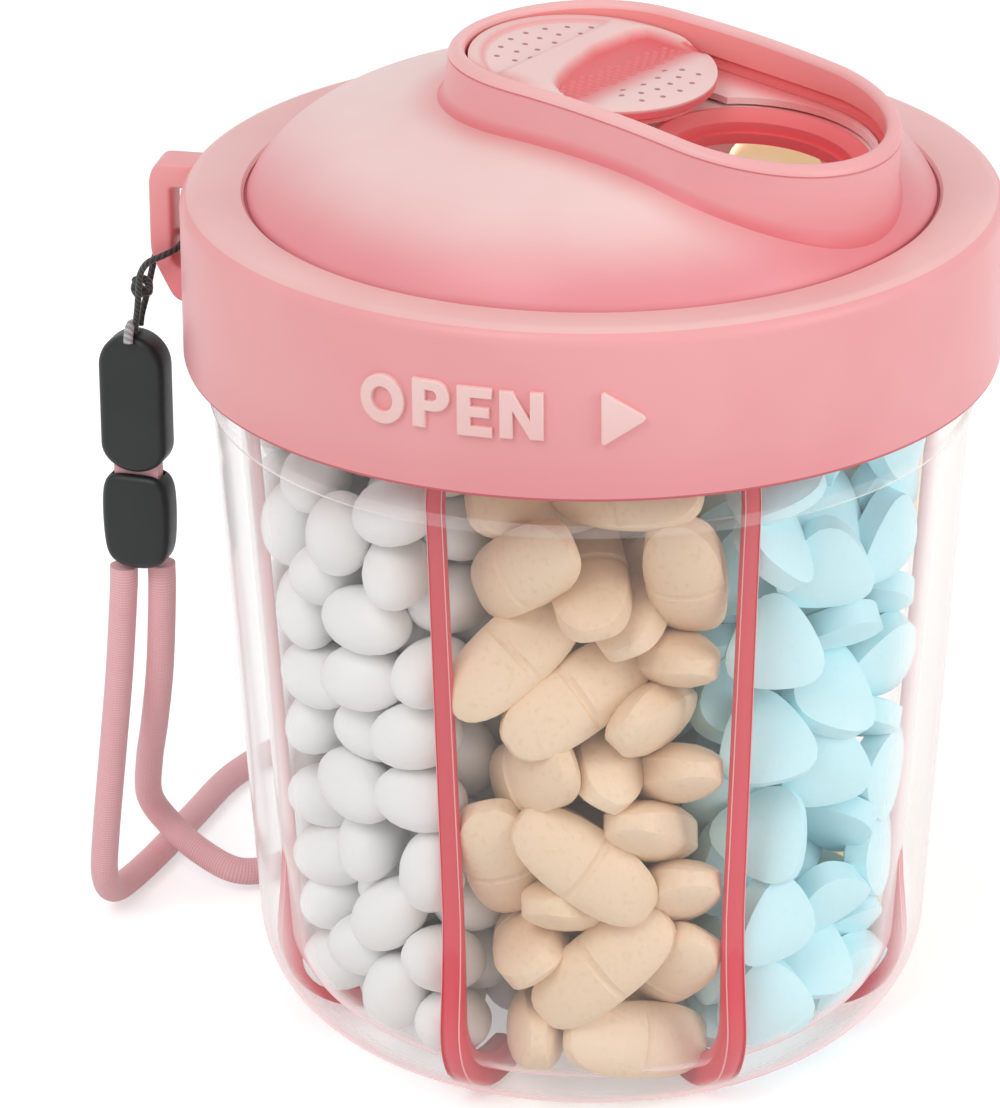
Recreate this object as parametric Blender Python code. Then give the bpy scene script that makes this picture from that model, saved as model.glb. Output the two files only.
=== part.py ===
"""Weekly pill dispenser.

A clear cup holds a seven-way divider.  A twist-off collar closes it and carries a
turntable dome.  A raised track on the dome holds a sliding door over the one
dispensing hole.  A cord and a buckle hang a wrist strap from a lug on the collar.

Metres, +Z up.  The origin is the centre of the cup's flat base, and the front is -Y.
"""

import math

import bmesh
import bpy
from mathutils import Matrix, Vector

# Steps of round shapes
TURN_STEPS = 64
HUB_STEPS = 28
HOLE_STEPS = 40
DOOR_STEPS = 48
ARC_STEPS = 5
DOME_STEPS = 10
EDGE_STEPS = 6
BAYONET_STEPS = 6
TRACK_END_STEPS = 18
TRACK_SIDE_STEPS = 5
BUCKLE_END_STEPS = 8
ROUTE_STEPS = 24
SMOOTH_ANGLE = math.radians(32)

# Clearances: a running gap lets pieces move, a seat gap lies between pieces that rest
RUNNING_GAP = 0.0003
SEAT_GAP = 0.0003
CUT_OVERRUN = 0.002

# Cup
BODY_TOP_Z = 0.0742
BODY_TOP_R = 0.0395
WALL_DRAFT = math.radians(3.66)
WALL = 0.0026
BASE_CORNER_R = 0.0114
BEAD_DROP = 0.0043
BEAD_Z = BODY_TOP_Z - BEAD_DROP
BEAD_RISE = 0.00035
BEAD_HALF_HEIGHT = 0.0007
NECK_STEP = 0.0012
NECK_R = BODY_TOP_R - NECK_STEP
NECK_WALL = 0.0021
NECK_STEP_RISE = 0.0008
NECK_HEIGHT = 0.0126
RIM_Z = BODY_TOP_Z + NECK_HEIGHT
RIM_CHAMFER = 0.0004

# Bayonet between cup and collar
BAYONET_COUNT = 3
BAYONET_ARC = math.radians(26)
BAYONET_HEIGHT = 0.002
BAYONET_STAND = 0.0007
BAYONET_PLACE = 0.0053
NECK_BAYONET_Z = BODY_TOP_Z + BAYONET_PLACE

# Seal on the cup's rim, and above it the dome's flange, which the collar holds down
SEAL_INSET = 0.0002
SEAL_HEIGHT = 0.001
SEAL_CHAMFER = 0.0002
SEAL_FOOT_Z = RIM_Z + SEAT_GAP
SEAL_TOP_Z = SEAL_FOOT_Z + SEAL_HEIGHT
FLANGE_THICKNESS = 0.0014
FLANGE_FOOT_Z = SEAL_TOP_Z + RUNNING_GAP
FLANGE_TOP_Z = FLANGE_FOOT_Z + FLANGE_THICKNESS

# Collar
COLLAR_WALL = 0.002
COLLAR_NECK_SPACE = 0.0017
COLLAR_R = NECK_R + COLLAR_NECK_SPACE + COLLAR_WALL
COLLAR_TOP_THICKNESS = 0.0014
COLLAR_TOP_FALL = 0.0004
COLLAR_TOP_Z = FLANGE_TOP_Z + RUNNING_GAP + COLLAR_TOP_THICKNESS + COLLAR_TOP_FALL
COLLAR_TOP_WIDTH = 0.00655
SEAM_R = COLLAR_R - COLLAR_TOP_WIDTH
COLLAR_SHOULDER_R = 0.0018
COLLAR_EDGE_CHAMFER = 0.0003

# Strap lug on the collar
LUG_AZIMUTH = math.radians(169)
LUG_REACH = 0.0042
LUG_BAR = 0.0023
LUG_CHIN_DEPTH = 0.0016
LUG_WIDTH = 0.0044
LUG_ROOT = 0.0012
LUG_FOOT_LIFT = 0.002
LUG_FOOT_Z = BODY_TOP_Z + LUG_FOOT_LIFT
LUG_CHIN_RISE = 0.0052
LUG_TOP_DROP = 0.0004
LUG_SLOT_LIFT = 0.0039
LUG_SLOT_DROP = 0.0031
LUG_SLOT_CLEAR = 0.00012

# Dome
SEAM_GAP = 0.00035
DOME_EDGE_R = SEAM_R - SEAM_GAP
DOME_RISE = 0.01
DOME_TOP_Z = COLLAR_TOP_Z + DOME_RISE
DOME_EDGE_DROP = 0.0005
DOME_EDGE_Z = COLLAR_TOP_Z - DOME_EDGE_DROP
DOME_CROWN_SHARE = 0.4843
DOME_SHOULDER_SHARE = 0.8832
DOME_SHOULDER_DROP = 0.0016
DOME_WALL = 0.0026
DOME_EDGE_WALL = 0.0022

# Divider, which stops below the dome
COMPARTMENTS = 7
FIRST_VANE_AZIMUTH = math.radians(-115.4)
VANE_THICKNESS = 0.0014
HUB_R = 0.0036
HUB_FOOT_R = 0.0062
HUB_FOOT_HEIGHT = 0.003
VANE_DOME_CLEAR = 0.0035
VANE_TOP_Z = DOME_TOP_Z - DOME_WALL - VANE_DOME_CLEAR
VANE_SLOPE_RUN = 0.0161
VANE_SHOULDER_DROP = 0.0006
EDGE_DEPTH = 0.0012
EDGE_TOP_WIDTH = 0.0019
EDGE_FOOT_WIDTH = 0.003
EDGE_TOP_DROP = 0.0013
EDGE_FOOT_RUN = 0.0026

# Track on the dome: its own frame has x along the slide and z square to the seat
TRACK_AZIMUTH = math.radians(-35)
TRACK_TILT = math.radians(5.71)
TRACK_SEAT_RISE = 0.0014
TRACK_SEAT_Z = DOME_TOP_Z + TRACK_SEAT_RISE
TRACK_INNER_R = 0.013
TRACK_WALL = 0.0017
TRACK_LIP_R = TRACK_INNER_R + TRACK_WALL
TRACK_CREST_INSET = 0.0008
TRACK_SETBACK = 0.0006
TRACK_TRAVEL = DOME_EDGE_R - TRACK_SETBACK - TRACK_LIP_R
TRACK_LIP_RISE = 0.0036
TRACK_BOW_R = 0.167
TRACK_FLOOR_DROP = 0.002
TRACK_FALL = (DOME_EDGE_R - TRACK_SETBACK) * math.sin(TRACK_TILT)
TRACK_ROOT_DROP = (TRACK_SEAT_Z - DOME_EDGE_Z - TRACK_FALL) / math.cos(TRACK_TILT)
TRACK_ROOT_FLARE = 0.0008
LIP_ROUND = 0.0007
HOLE_OFFSET = 0.001
HOLE_PLACE = TRACK_TRAVEL + HOLE_OFFSET
HOLE_MARGIN = 0.0034
HOLE_R = TRACK_INNER_R - HOLE_MARGIN
HOLE_BEVEL_WIDTH = 0.0015
HOLE_BEVEL_DEPTH = 0.0008
HOLE_LEDGE_WIDTH = 0.0006
HOLE_LEDGE_DEPTH = 0.0011
HOLE_MOUTH_OVERRUN_SHARE = 0.25

# Sliding door: a cap above and a shutter below, whose tongues run in the track's groove
SHUTTER_MARGIN = 0.0014
SHUTTER_R = TRACK_INNER_R - SHUTTER_MARGIN
SHUTTER_THICKNESS = 0.0006
SHUTTER_DROP = 0.0001
GROOVE_DEPTH = 0.0007
GROOVE_CLEAR = 0.00025
GROOVE_TOP = GROOVE_CLEAR - SHUTTER_DROP
GROOVE_FOOT = SHUTTER_DROP + SHUTTER_THICKNESS + GROOVE_CLEAR
TONGUE_REACH = TRACK_INNER_R + GROOVE_DEPTH - RUNNING_GAP
TONGUE_HALF_LENGTH = 0.0045
DOOR_GAP = 0.00035
DOOR_R = TRACK_INNER_R - DOOR_GAP
DOOR_THICKNESS = 0.0014
DOOR_SEAT = SEAT_GAP - SHUTTER_DROP
DOOR_EDGE_BEVEL = 0.0004
DOOR_SCOOP_R = 0.0088
DOOR_SCOOP_DEPTH = 0.0007
DOOR_SCOOP_PLACE = 0.0027

# Rails on the track's floor, just under the shutter
RAIL_WIDTH = 0.0058
RAIL_INNER = TRACK_INNER_R - RAIL_WIDTH
RAIL_FOOT = SEAT_GAP - TRACK_FLOOR_DROP
RAIL_TOP = -SHUTTER_DROP - SHUTTER_THICKNESS - RUNNING_GAP
RAIL_HOLE_CLEAR = 0.0019

# Buckle: its frame has x across the face, y towards the back and z up
BUCKLE_STANDOFF = 0.0026
BUCKLE_REACH = COLLAR_R + LUG_REACH + BUCKLE_STANDOFF
BUCKLE_TURN = math.radians(-17)
BUCKLE_WIDTH = 0.0073
BUCKLE_THICKNESS = 0.0038
SOCKET_HEIGHT = 0.0155
SOCKET_FOOT_ROUND = 0.003
SOCKET_SIDE_WALL = 0.0009
SOCKET_FACE_WALL = 0.0008
CAVITY_WIDTH = BUCKLE_WIDTH - SOCKET_SIDE_WALL - SOCKET_SIDE_WALL
CAVITY_THICKNESS = BUCKLE_THICKNESS - SOCKET_FACE_WALL - SOCKET_FACE_WALL
SOCKET_CAVITY_DEPTH = 0.008
PLUG_HEIGHT = 0.0109
PLUG_CAVITY_DEPTH = 0.0036
PLUG_FOOT_CROWN = 0.0008
PLUG_SIDE_SHARES = [(0.84, 0.0), (0.96, 0.1), (1.02, 0.24), (1.02, 0.58), (0.94, 0.84), (0.86, 0.93)]
TONGUE_WIDTH = CAVITY_WIDTH - RUNNING_GAP - RUNNING_GAP
TONGUE_THICKNESS = CAVITY_THICKNESS - RUNNING_GAP - RUNNING_GAP
TONGUE_END_GAP = 0.001
BUCKLE_BEVEL = 0.0005
BUCKLE_BEVEL_ANGLE = math.radians(40)

# Cords
CORD_R = 0.00035
CORD_BEVEL_RESOLUTION = 2
CORD_POINTS = 46
STRAP_R = 0.0015
STRAP_BEVEL_RESOLUTION = 2
STRAP_POINTS = 78

# The hanging cord's route: how far out from the cup's axis, how far to the side of the
# lug's middle plane (towards the front), and the height.
CORD_ROUTE = [
    (0.04840, 0.00110, 0.07210),
    (0.04822, 0.00122, 0.07340),
    (0.04780, 0.00190, 0.07540),
    (0.04740, 0.00268, 0.07780),
    (0.04700, 0.00325, 0.07960),
    (0.04600, 0.00385, 0.08110),
    (0.04450, 0.00375, 0.08190),
    (0.04340, 0.00265, 0.08230),
    (0.04302, 0.00100, 0.08250),
    (0.04302, -0.00100, 0.08250),
    (0.04340, -0.00265, 0.08230),
    (0.04450, -0.00375, 0.08190),
    (0.04600, -0.00385, 0.08110),
    (0.04700, -0.00325, 0.07960),
    (0.04740, -0.00268, 0.07780),
    (0.04780, -0.00190, 0.07540),
    (0.04822, -0.00122, 0.07340),
    (0.04840, -0.00110, 0.07210),
]

# The wrist strap's route from the plug down to the floor, round behind the cup and back
STRAP_ROUTE = [
    (-0.04985, 0.00975, 0.04480),
    (-0.05000, 0.00980, 0.04150),
    (-0.05080, 0.01060, 0.03200),
    (-0.05190, 0.01170, 0.02200),
    (-0.05300, 0.01240, 0.01200),
    (-0.05345, 0.01370, 0.00620),
    (-0.05290, 0.01680, 0.00270),
    (-0.05120, 0.02150, 0.00165),
    (-0.04830, 0.02860, 0.00160),
    (-0.04500, 0.03800, 0.00160),
    (-0.04120, 0.04800, 0.00160),
    (-0.03550, 0.05550, 0.00160),
    (-0.02650, 0.06020, 0.00160),
    (-0.01700, 0.05980, 0.00160),
    (-0.01050, 0.05420, 0.00160),
    (-0.01000, 0.04720, 0.00160),
    (-0.01550, 0.04230, 0.00160),
    (-0.02350, 0.03800, 0.00160),
    (-0.03030, 0.03120, 0.00160),
    (-0.03480, 0.02450, 0.00170),
    (-0.03930, 0.02200, 0.00230),
    (-0.04360, 0.02400, 0.00370),
    (-0.04700, 0.02680, 0.00560),
    (-0.04920, 0.02600, 0.00960),
    (-0.04880, 0.02180, 0.01600),
    (-0.04770, 0.01720, 0.02300),
    (-0.04660, 0.01300, 0.03150),
    (-0.04595, 0.01075, 0.04100),
    (-0.04590, 0.01060, 0.04480),
]

# Finishes: colour, roughness and share of light let through
COLOURS = {
    "clear": ((0.93, 0.92, 0.92), 0.08, 0.85),
    "coral": ((0.72, 0.13, 0.16), 0.35, 0.0),
    "pink": ((0.86, 0.36, 0.40), 0.38, 0.0),
    "silicone": ((0.90, 0.72, 0.70), 0.6, 0.0),
    "door": ((0.88, 0.66, 0.62), 0.42, 0.0),
    "black": ((0.035, 0.034, 0.036), 0.45, 0.0),
    "cord": ((0.02, 0.02, 0.02), 0.8, 0.0),
    "strap": ((0.80, 0.38, 0.45), 0.85, 0.0),
}


def clear_scene():
    for old in list(bpy.data.objects):
        bpy.data.objects.remove(old, do_unlink=True)


def make_materials():
    made = {}
    for name, (colour, roughness, clearness) in COLOURS.items():
        material = bpy.data.materials.new(name)
        material.use_nodes = True
        shader = material.node_tree.nodes["Principled BSDF"]
        shader.inputs["Base Color"].default_value = (*colour, 1.0)
        shader.inputs["Roughness"].default_value = roughness
        shader.inputs["Metallic"].default_value = 0.0
        shader.inputs["Transmission Weight"].default_value = clearness
        made[name] = material
    return made


def add_object(name, mesh, material=None, frame=None):
    piece = bpy.data.objects.new(name, mesh)
    bpy.context.collection.objects.link(piece)
    if material:
        mesh.materials.clear()
        mesh.materials.append(material)
    if frame:
        piece.parent = frame
    return piece


def add_frame(name, matrix):
    frame = bpy.data.objects.new(name, None)
    bpy.context.collection.objects.link(frame)
    frame.matrix_world = matrix
    return frame


def mesh_from(name, bm):
    bmesh.ops.recalc_face_normals(bm, faces=bm.faces)
    mesh = bpy.data.meshes.new(name)
    bm.to_mesh(mesh)
    bm.free()
    return mesh


def smooth(piece):
    piece.data.shade_smooth()
    piece.data.set_sharp_from_angle(angle=SMOOTH_ANGLE)
    return piece


def arc(centre, radius, start, end, steps=ARC_STEPS):
    """Points on an arc in the (radius, height) plane, both ends included."""
    points = []
    for step in range(steps + 1):
        angle = start + (end - start) * step / steps
        points.append((centre[0] + radius * math.cos(angle), centre[1] + radius * math.sin(angle)))
    return points


def bezier(points, steps):
    """Points on the cubic curve that has these four control points."""
    a, b, c, d = (Vector(point) for point in points)
    curve = []
    for step in range(steps + 1):
        t = step / steps
        u = 1 - t
        curve.append(tuple(a * u ** 3 + b * 3 * u * u * t + c * 3 * u * t * t + d * t ** 3))
    return curve


def turned(name, profile, closed=False, steps=TURN_STEPS, place=(0.0, 0.0)):
    """A profile of (radius, height) points turned about the upright line at place."""
    bm = bmesh.new()
    rings = []
    for radius, height in profile:
        if radius == 0:
            rings.append([bm.verts.new((*place, height))])
            continue
        ring = []
        for step in range(steps):
            turn = math.tau * step / steps
            ring.append(bm.verts.new((place[0] + radius * math.cos(turn), place[1] + radius * math.sin(turn), height)))
        rings.append(ring)
    pairs = list(zip(rings, rings[1:]))
    if closed:
        pairs.append((rings[-1], rings[0]))
    for low, high in pairs:
        for step in range(steps):
            after = (step + 1) % steps
            corners = [low[step % len(low)], low[after % len(low)], high[after % len(high)], high[step % len(high)]]
            unique = list(dict.fromkeys(corners))
            if len(unique) > 2:
                bm.faces.new(unique)
    return mesh_from(name, bm)


def lofted(name, loops, capped=True):
    """Closed loops of equal length joined one after another, with a face at each end."""
    bm = bmesh.new()
    rings = [[bm.verts.new(point) for point in loop] for loop in loops]
    for low, high in zip(rings, rings[1:]):
        count = len(low)
        for step in range(count):
            after = (step + 1) % count
            bm.faces.new((low[step], low[after], high[after], high[step]))
    if capped:
        bm.faces.new(rings[0])
        bm.faces.new(rings[-1])
    return mesh_from(name, bm)


def prism(name, outline, low, high):
    """An outline of (x, y) points as an upright prism."""
    return lofted(name, [[(x, y, height) for x, y in outline] for height in (low, high)])


def cut_with(piece, tool_mesh, operation="DIFFERENCE", frame=None):
    """Carries out one Boolean with a mesh that lies in the same frame as the piece."""
    tool = add_object("tool", tool_mesh)
    tool.hide_render = True
    tool.display_type = "WIRE"
    if frame:
        tool.parent = frame
    modifier = piece.modifiers.new("cut", "BOOLEAN")
    modifier.operation = operation
    modifier.solver = "EXACT"
    modifier.object = tool
    bpy.context.view_layer.update()
    graph = bpy.context.evaluated_depsgraph_get()
    result = bpy.data.meshes.new_from_object(piece.evaluated_get(graph))
    materials = list(piece.data.materials)
    piece.modifiers.clear()
    piece.data = result
    result.materials.clear()
    for material in materials:
        result.materials.append(material)
    bpy.data.objects.remove(tool, do_unlink=True)
    return piece


def wall_radius(height):
    """Outer radius of the cup's drafted wall."""
    return BODY_TOP_R - (BODY_TOP_Z - height) * math.tan(WALL_DRAFT)


def base_flat_radius():
    """Radius of the flat base, so that the corner arc meets the drafted wall squarely."""
    arc_end = BASE_CORNER_R * (1 - math.sin(WALL_DRAFT))
    return wall_radius(arc_end) - BASE_CORNER_R * math.cos(WALL_DRAFT)


def inner_wall_radius(height):
    return wall_radius(height) - WALL / math.cos(WALL_DRAFT)


def arc_blocks(name, inner, outer, low, high):
    """Equally spaced arc-shaped blocks, the bayonet's interrupted ring."""
    bm = bmesh.new()
    for index in range(BAYONET_COUNT):
        middle = math.tau * index / BAYONET_COUNT
        rows = []
        for step in range(BAYONET_STEPS + 1):
            angle = middle + BAYONET_ARC * (step / BAYONET_STEPS - 1 / 2)
            across = (math.cos(angle), math.sin(angle))
            corners = [(inner, low), (outer, low), (outer, high), (inner, high)]
            rows.append([bm.verts.new((across[0] * r, across[1] * r, z)) for r, z in corners])
        for first, second in zip(rows, rows[1:]):
            for corner in range(4):
                following = (corner + 1) % 4
                bm.faces.new((first[corner], first[following], second[following], second[corner]))
        bm.faces.new(rows[0])
        bm.faces.new(rows[-1])
    return mesh_from(name, bm)


def make_cup(materials):
    base_r = base_flat_radius()
    corner = (base_r, BASE_CORNER_R)
    quarter = math.pi / 2
    outer = [(0, 0)] + arc(corner, BASE_CORNER_R, -quarter, -WALL_DRAFT)
    outer += [
        (wall_radius(BEAD_Z - BEAD_HALF_HEIGHT), BEAD_Z - BEAD_HALF_HEIGHT),
        (wall_radius(BEAD_Z) + BEAD_RISE, BEAD_Z),
        (wall_radius(BEAD_Z + BEAD_HALF_HEIGHT), BEAD_Z + BEAD_HALF_HEIGHT),
        (BODY_TOP_R, BODY_TOP_Z),
        (BODY_TOP_R, BODY_TOP_Z + NECK_STEP_RISE),
        (NECK_R, BODY_TOP_Z + NECK_STEP_RISE + NECK_STEP_RISE),
        (NECK_R, RIM_Z - RIM_CHAMFER),
        (NECK_R - RIM_CHAMFER, RIM_Z),
    ]
    neck_inner = NECK_R - NECK_WALL
    inner = [
        (neck_inner + RIM_CHAMFER, RIM_Z),
        (neck_inner, RIM_Z - RIM_CHAMFER),
        (neck_inner, BODY_TOP_Z),
        (inner_wall_radius(BEAD_Z), BEAD_Z),
    ]
    inner += arc(corner, BASE_CORNER_R - WALL, -WALL_DRAFT, -quarter) + [(0, WALL)]
    cup = add_object("cup", turned("cup", outer + inner), materials["clear"])
    lugs = arc_blocks("lugs", NECK_R - NECK_WALL / 2, NECK_R + BAYONET_STAND,
                      NECK_BAYONET_Z, NECK_BAYONET_Z + BAYONET_HEIGHT)
    return smooth(cut_with(cup, lugs, "UNION"))


def edge_path(offset):
    """The cup's inside from rim to floor in one vane's plane, moved in by offset."""
    corner = (base_flat_radius(), BASE_CORNER_R)
    radius = BASE_CORNER_R - WALL - offset
    path = [
        (NECK_R - NECK_WALL - offset, RIM_Z - EDGE_TOP_DROP),
        (NECK_R - NECK_WALL - offset, BODY_TOP_Z),
        (inner_wall_radius(BEAD_Z) - offset, BEAD_Z),
    ]
    path += arc(corner, radius, -WALL_DRAFT, -math.pi / 2, EDGE_STEPS)
    return path + [(corner[0] - EDGE_FOOT_RUN, WALL + offset)]


def make_divider(materials):
    vane_edge = edge_path(SEAT_GAP + EDGE_DEPTH + SEAT_GAP)
    root = HUB_R / 2
    foot_z = WALL + SEAT_GAP
    outline = [(root, VANE_TOP_Z), (DOME_EDGE_R - VANE_SLOPE_RUN, VANE_TOP_Z)]
    outline += [(vane_edge[0][0], RIM_Z - VANE_SHOULDER_DROP)]
    outline += vane_edge[1:-1]
    outline += [(vane_edge[-1][0], vane_edge[-1][1]), (vane_edge[-1][0] - EDGE_DEPTH, foot_z), (root, foot_z)]
    bm = bmesh.new()
    half = VANE_THICKNESS / 2
    for index in range(COMPARTMENTS):
        turn = Matrix.Rotation(FIRST_VANE_AZIMUTH + math.tau * index / COMPARTMENTS, 3, "Z")
        sides = []
        for side in (-half, half):
            sides.append([bm.verts.new(turn @ Vector((r, side, z))) for r, z in outline])
        count = len(outline)
        for step in range(count):
            after = (step + 1) % count
            bm.faces.new((sides[0][step], sides[0][after], sides[1][after], sides[1][step]))
        bm.faces.new(sides[0])
        bm.faces.new(sides[1])
    vanes = mesh_from("vanes", bm)
    profile = [
        (0, foot_z),
        (HUB_FOOT_R, foot_z),
        (HUB_R, foot_z + HUB_FOOT_HEIGHT),
        (HUB_R, VANE_TOP_Z - RIM_CHAMFER),
        (HUB_R - RIM_CHAMFER, VANE_TOP_Z),
        (0, VANE_TOP_Z),
    ]
    insert = add_object("divider_insert", turned("divider_insert", profile, steps=HUB_STEPS), materials["clear"])
    return smooth(cut_with(insert, vanes, "UNION"))


def make_divider_edges(materials):
    """Soft strips between the vanes' outer edges and the cup's wall."""
    outer = edge_path(SEAT_GAP)
    inner = edge_path(SEAT_GAP + EDGE_DEPTH)
    loops = []
    for step, (far, near) in enumerate(zip(outer, inner)):
        share = step / (len(outer) - 1)
        half = (EDGE_TOP_WIDTH + (EDGE_FOOT_WIDTH - EDGE_TOP_WIDTH) * share * share) / 2
        loops.append([(far[0], -half, far[1]), (far[0], half, far[1]),
                      (near[0], half, near[1]), (near[0], -half, near[1])])
    mesh = lofted("divider_edge", loops)
    mesh.materials.append(materials["coral"])
    for index in range(COMPARTMENTS):
        edge = add_object(f"divider_edge_{index + 1}", mesh)
        edge.rotation_euler.z = FIRST_VANE_AZIMUTH + math.tau * index / COMPARTMENTS
        smooth(edge)


def lug_block():
    """The lug's outline in the plane through the cup's axis, as (radius, height)."""
    top = COLLAR_TOP_Z - LUG_TOP_DROP
    outer = COLLAR_R + LUG_REACH
    root = COLLAR_R - LUG_ROOT
    outline = [
        (root, top),
        (outer - LUG_CHIN_DEPTH / 2, top),
        (outer, top - LUG_CHIN_DEPTH),
        (outer, LUG_FOOT_Z + LUG_CHIN_RISE),
        (COLLAR_R + LUG_CHIN_DEPTH, LUG_FOOT_Z),
        (root, LUG_FOOT_Z),
    ]
    half = LUG_WIDTH / 2
    return lofted("lug", [[(r, side, z) for r, z in outline] for side in (-half, half)])


def lug_slot():
    outer = COLLAR_R + LUG_REACH - LUG_BAR
    inner = COLLAR_R + LUG_SLOT_CLEAR
    half = LUG_WIDTH / 2 + CUT_OVERRUN
    foot = LUG_FOOT_Z + LUG_SLOT_LIFT
    top = COLLAR_TOP_Z - LUG_SLOT_DROP
    outline = [
        (inner, top),
        (outer, top),
        (outer, foot + LUG_CHIN_DEPTH / 2),
        (outer - LUG_CHIN_DEPTH / 2, foot),
        (inner, foot),
    ]
    return lofted("slot", [[(r, side, z) for r, z in outline] for side in (-half, half)])


def make_collar(materials):
    inner_r = COLLAR_R - COLLAR_WALL
    underside = FLANGE_TOP_Z + RUNNING_GAP
    shoulder = (COLLAR_R - COLLAR_SHOULDER_R, COLLAR_TOP_Z - COLLAR_SHOULDER_R)
    foot = BODY_TOP_Z
    profile = [(SEAM_R, COLLAR_TOP_Z - COLLAR_TOP_FALL)]
    profile += arc(shoulder, COLLAR_SHOULDER_R, math.pi / 2, 0)
    profile += [
        (COLLAR_R, foot + COLLAR_EDGE_CHAMFER),
        (COLLAR_R - COLLAR_EDGE_CHAMFER, foot),
        (inner_r, foot),
        (inner_r, underside),
        (SEAM_R, underside),
    ]
    collar = add_object("collar", turned("collar", profile, closed=True), materials["pink"])
    neck_lug_r = NECK_R + BAYONET_STAND
    lug_top = NECK_BAYONET_Z - RUNNING_GAP
    lugs = arc_blocks("collar_lugs", neck_lug_r + RUNNING_GAP, inner_r + COLLAR_WALL / 2,
                      lug_top - BAYONET_HEIGHT, lug_top)
    cut_with(collar, lugs, "UNION")
    turn = Matrix.Rotation(LUG_AZIMUTH, 4, "Z")
    block = lug_block()
    block.transform(turn)
    cut_with(collar, block, "UNION")
    slot = lug_slot()
    slot.transform(turn)
    cut_with(collar, slot)
    return smooth(collar)


def make_seal(materials):
    inner = NECK_R - NECK_WALL + SEAL_INSET
    outer = NECK_R - SEAL_INSET
    low = SEAL_FOOT_Z
    high = SEAL_TOP_Z
    c = SEAL_CHAMFER
    profile = [(inner, high - c), (inner + c, high), (outer - c, high), (outer, high - c),
               (outer, low + c), (outer - c, low), (inner + c, low), (inner, low + c)]
    seal = add_object("lid_seal", turned("lid_seal", profile, closed=True), materials["silicone"])
    return smooth(seal)


def stadium(radius, place=TRACK_TRAVEL):
    """A stadium outline about the slide's start and the point place along it."""
    points = []
    for middle, start, side in ((place, -math.pi / 2, 1), (0.0, math.pi / 2, -1)):
        for step in range(TRACK_END_STEPS + 1):
            angle = start + math.pi * step / TRACK_END_STEPS
            points.append((middle + radius * math.cos(angle), radius * math.sin(angle)))
        for step in range(1, TRACK_SIDE_STEPS):
            points.append((middle - side * place * step / TRACK_SIDE_STEPS, side * radius))
    return points


def lip_height(x):
    """The lip's crest bows down towards both ends of the track."""
    off_middle = x - TRACK_TRAVEL / 2
    return TRACK_LIP_RISE - off_middle * off_middle / (TRACK_BOW_R + TRACK_BOW_R)


def track_mesh():
    """The raised track with its rounded, bowed lip, its groove and its floor."""
    groove_r = TRACK_INNER_R + GROOVE_DEPTH
    crest_r = TRACK_LIP_R - TRACK_CREST_INSET
    lip = [
        (TRACK_LIP_R, LIP_ROUND + LIP_ROUND),
        (TRACK_LIP_R, LIP_ROUND),
        (crest_r + LIP_ROUND / 2, LIP_ROUND / 4),
        (crest_r, 0.0),
        (TRACK_INNER_R + LIP_ROUND / 2, LIP_ROUND / 4),
        (TRACK_INNER_R, LIP_ROUND),
    ]
    inside = [
        (TRACK_INNER_R, GROOVE_TOP),
        (groove_r, GROOVE_TOP),
        (groove_r, -GROOVE_FOOT),
        (TRACK_INNER_R, -GROOVE_FOOT),
        (TRACK_INNER_R, -TRACK_FLOOR_DROP),
    ]
    loops = [[(x, y, -TRACK_ROOT_DROP) for x, y in stadium(TRACK_LIP_R + TRACK_ROOT_FLARE)]]
    loops += [[(x, y, lip_height(x) - drop) for x, y in stadium(radius)] for radius, drop in lip]
    loops += [[(x, y, height) for x, y in stadium(radius)] for radius, height in inside]
    return lofted("track", loops)


def track_seat_mesh():
    """What comes off the dome where the track's own wall and floor stand."""
    middle_r = (TRACK_INNER_R + GROOVE_DEPTH + TRACK_LIP_R) / 2
    low = -TRACK_FLOOR_DROP - LIP_ROUND
    return prism("track_seat", stadium(middle_r), low, TRACK_LIP_RISE + CUT_OVERRUN)


def hole_mesh():
    """The dispensing hole: a bevelled mouth, a short wall and a narrower ledge."""
    mouth = -TRACK_FLOOR_DROP
    ledge = mouth - HOLE_BEVEL_DEPTH - HOLE_LEDGE_DEPTH
    above = mouth + HOLE_BEVEL_DEPTH * HOLE_MOUTH_OVERRUN_SHARE
    profile = [
        (0, above),
        (HOLE_R + HOLE_BEVEL_WIDTH * (1 + HOLE_MOUTH_OVERRUN_SHARE), above),
        (HOLE_R, mouth - HOLE_BEVEL_DEPTH),
        (HOLE_R, ledge),
        (HOLE_R - HOLE_LEDGE_WIDTH, ledge),
        (HOLE_R - HOLE_LEDGE_WIDTH, -TRACK_ROOT_DROP - CUT_OVERRUN),
        (0, -TRACK_ROOT_DROP - CUT_OVERRUN),
    ]
    return turned("hole", profile, steps=HOLE_STEPS, place=(HOLE_PLACE, 0.0))


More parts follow.
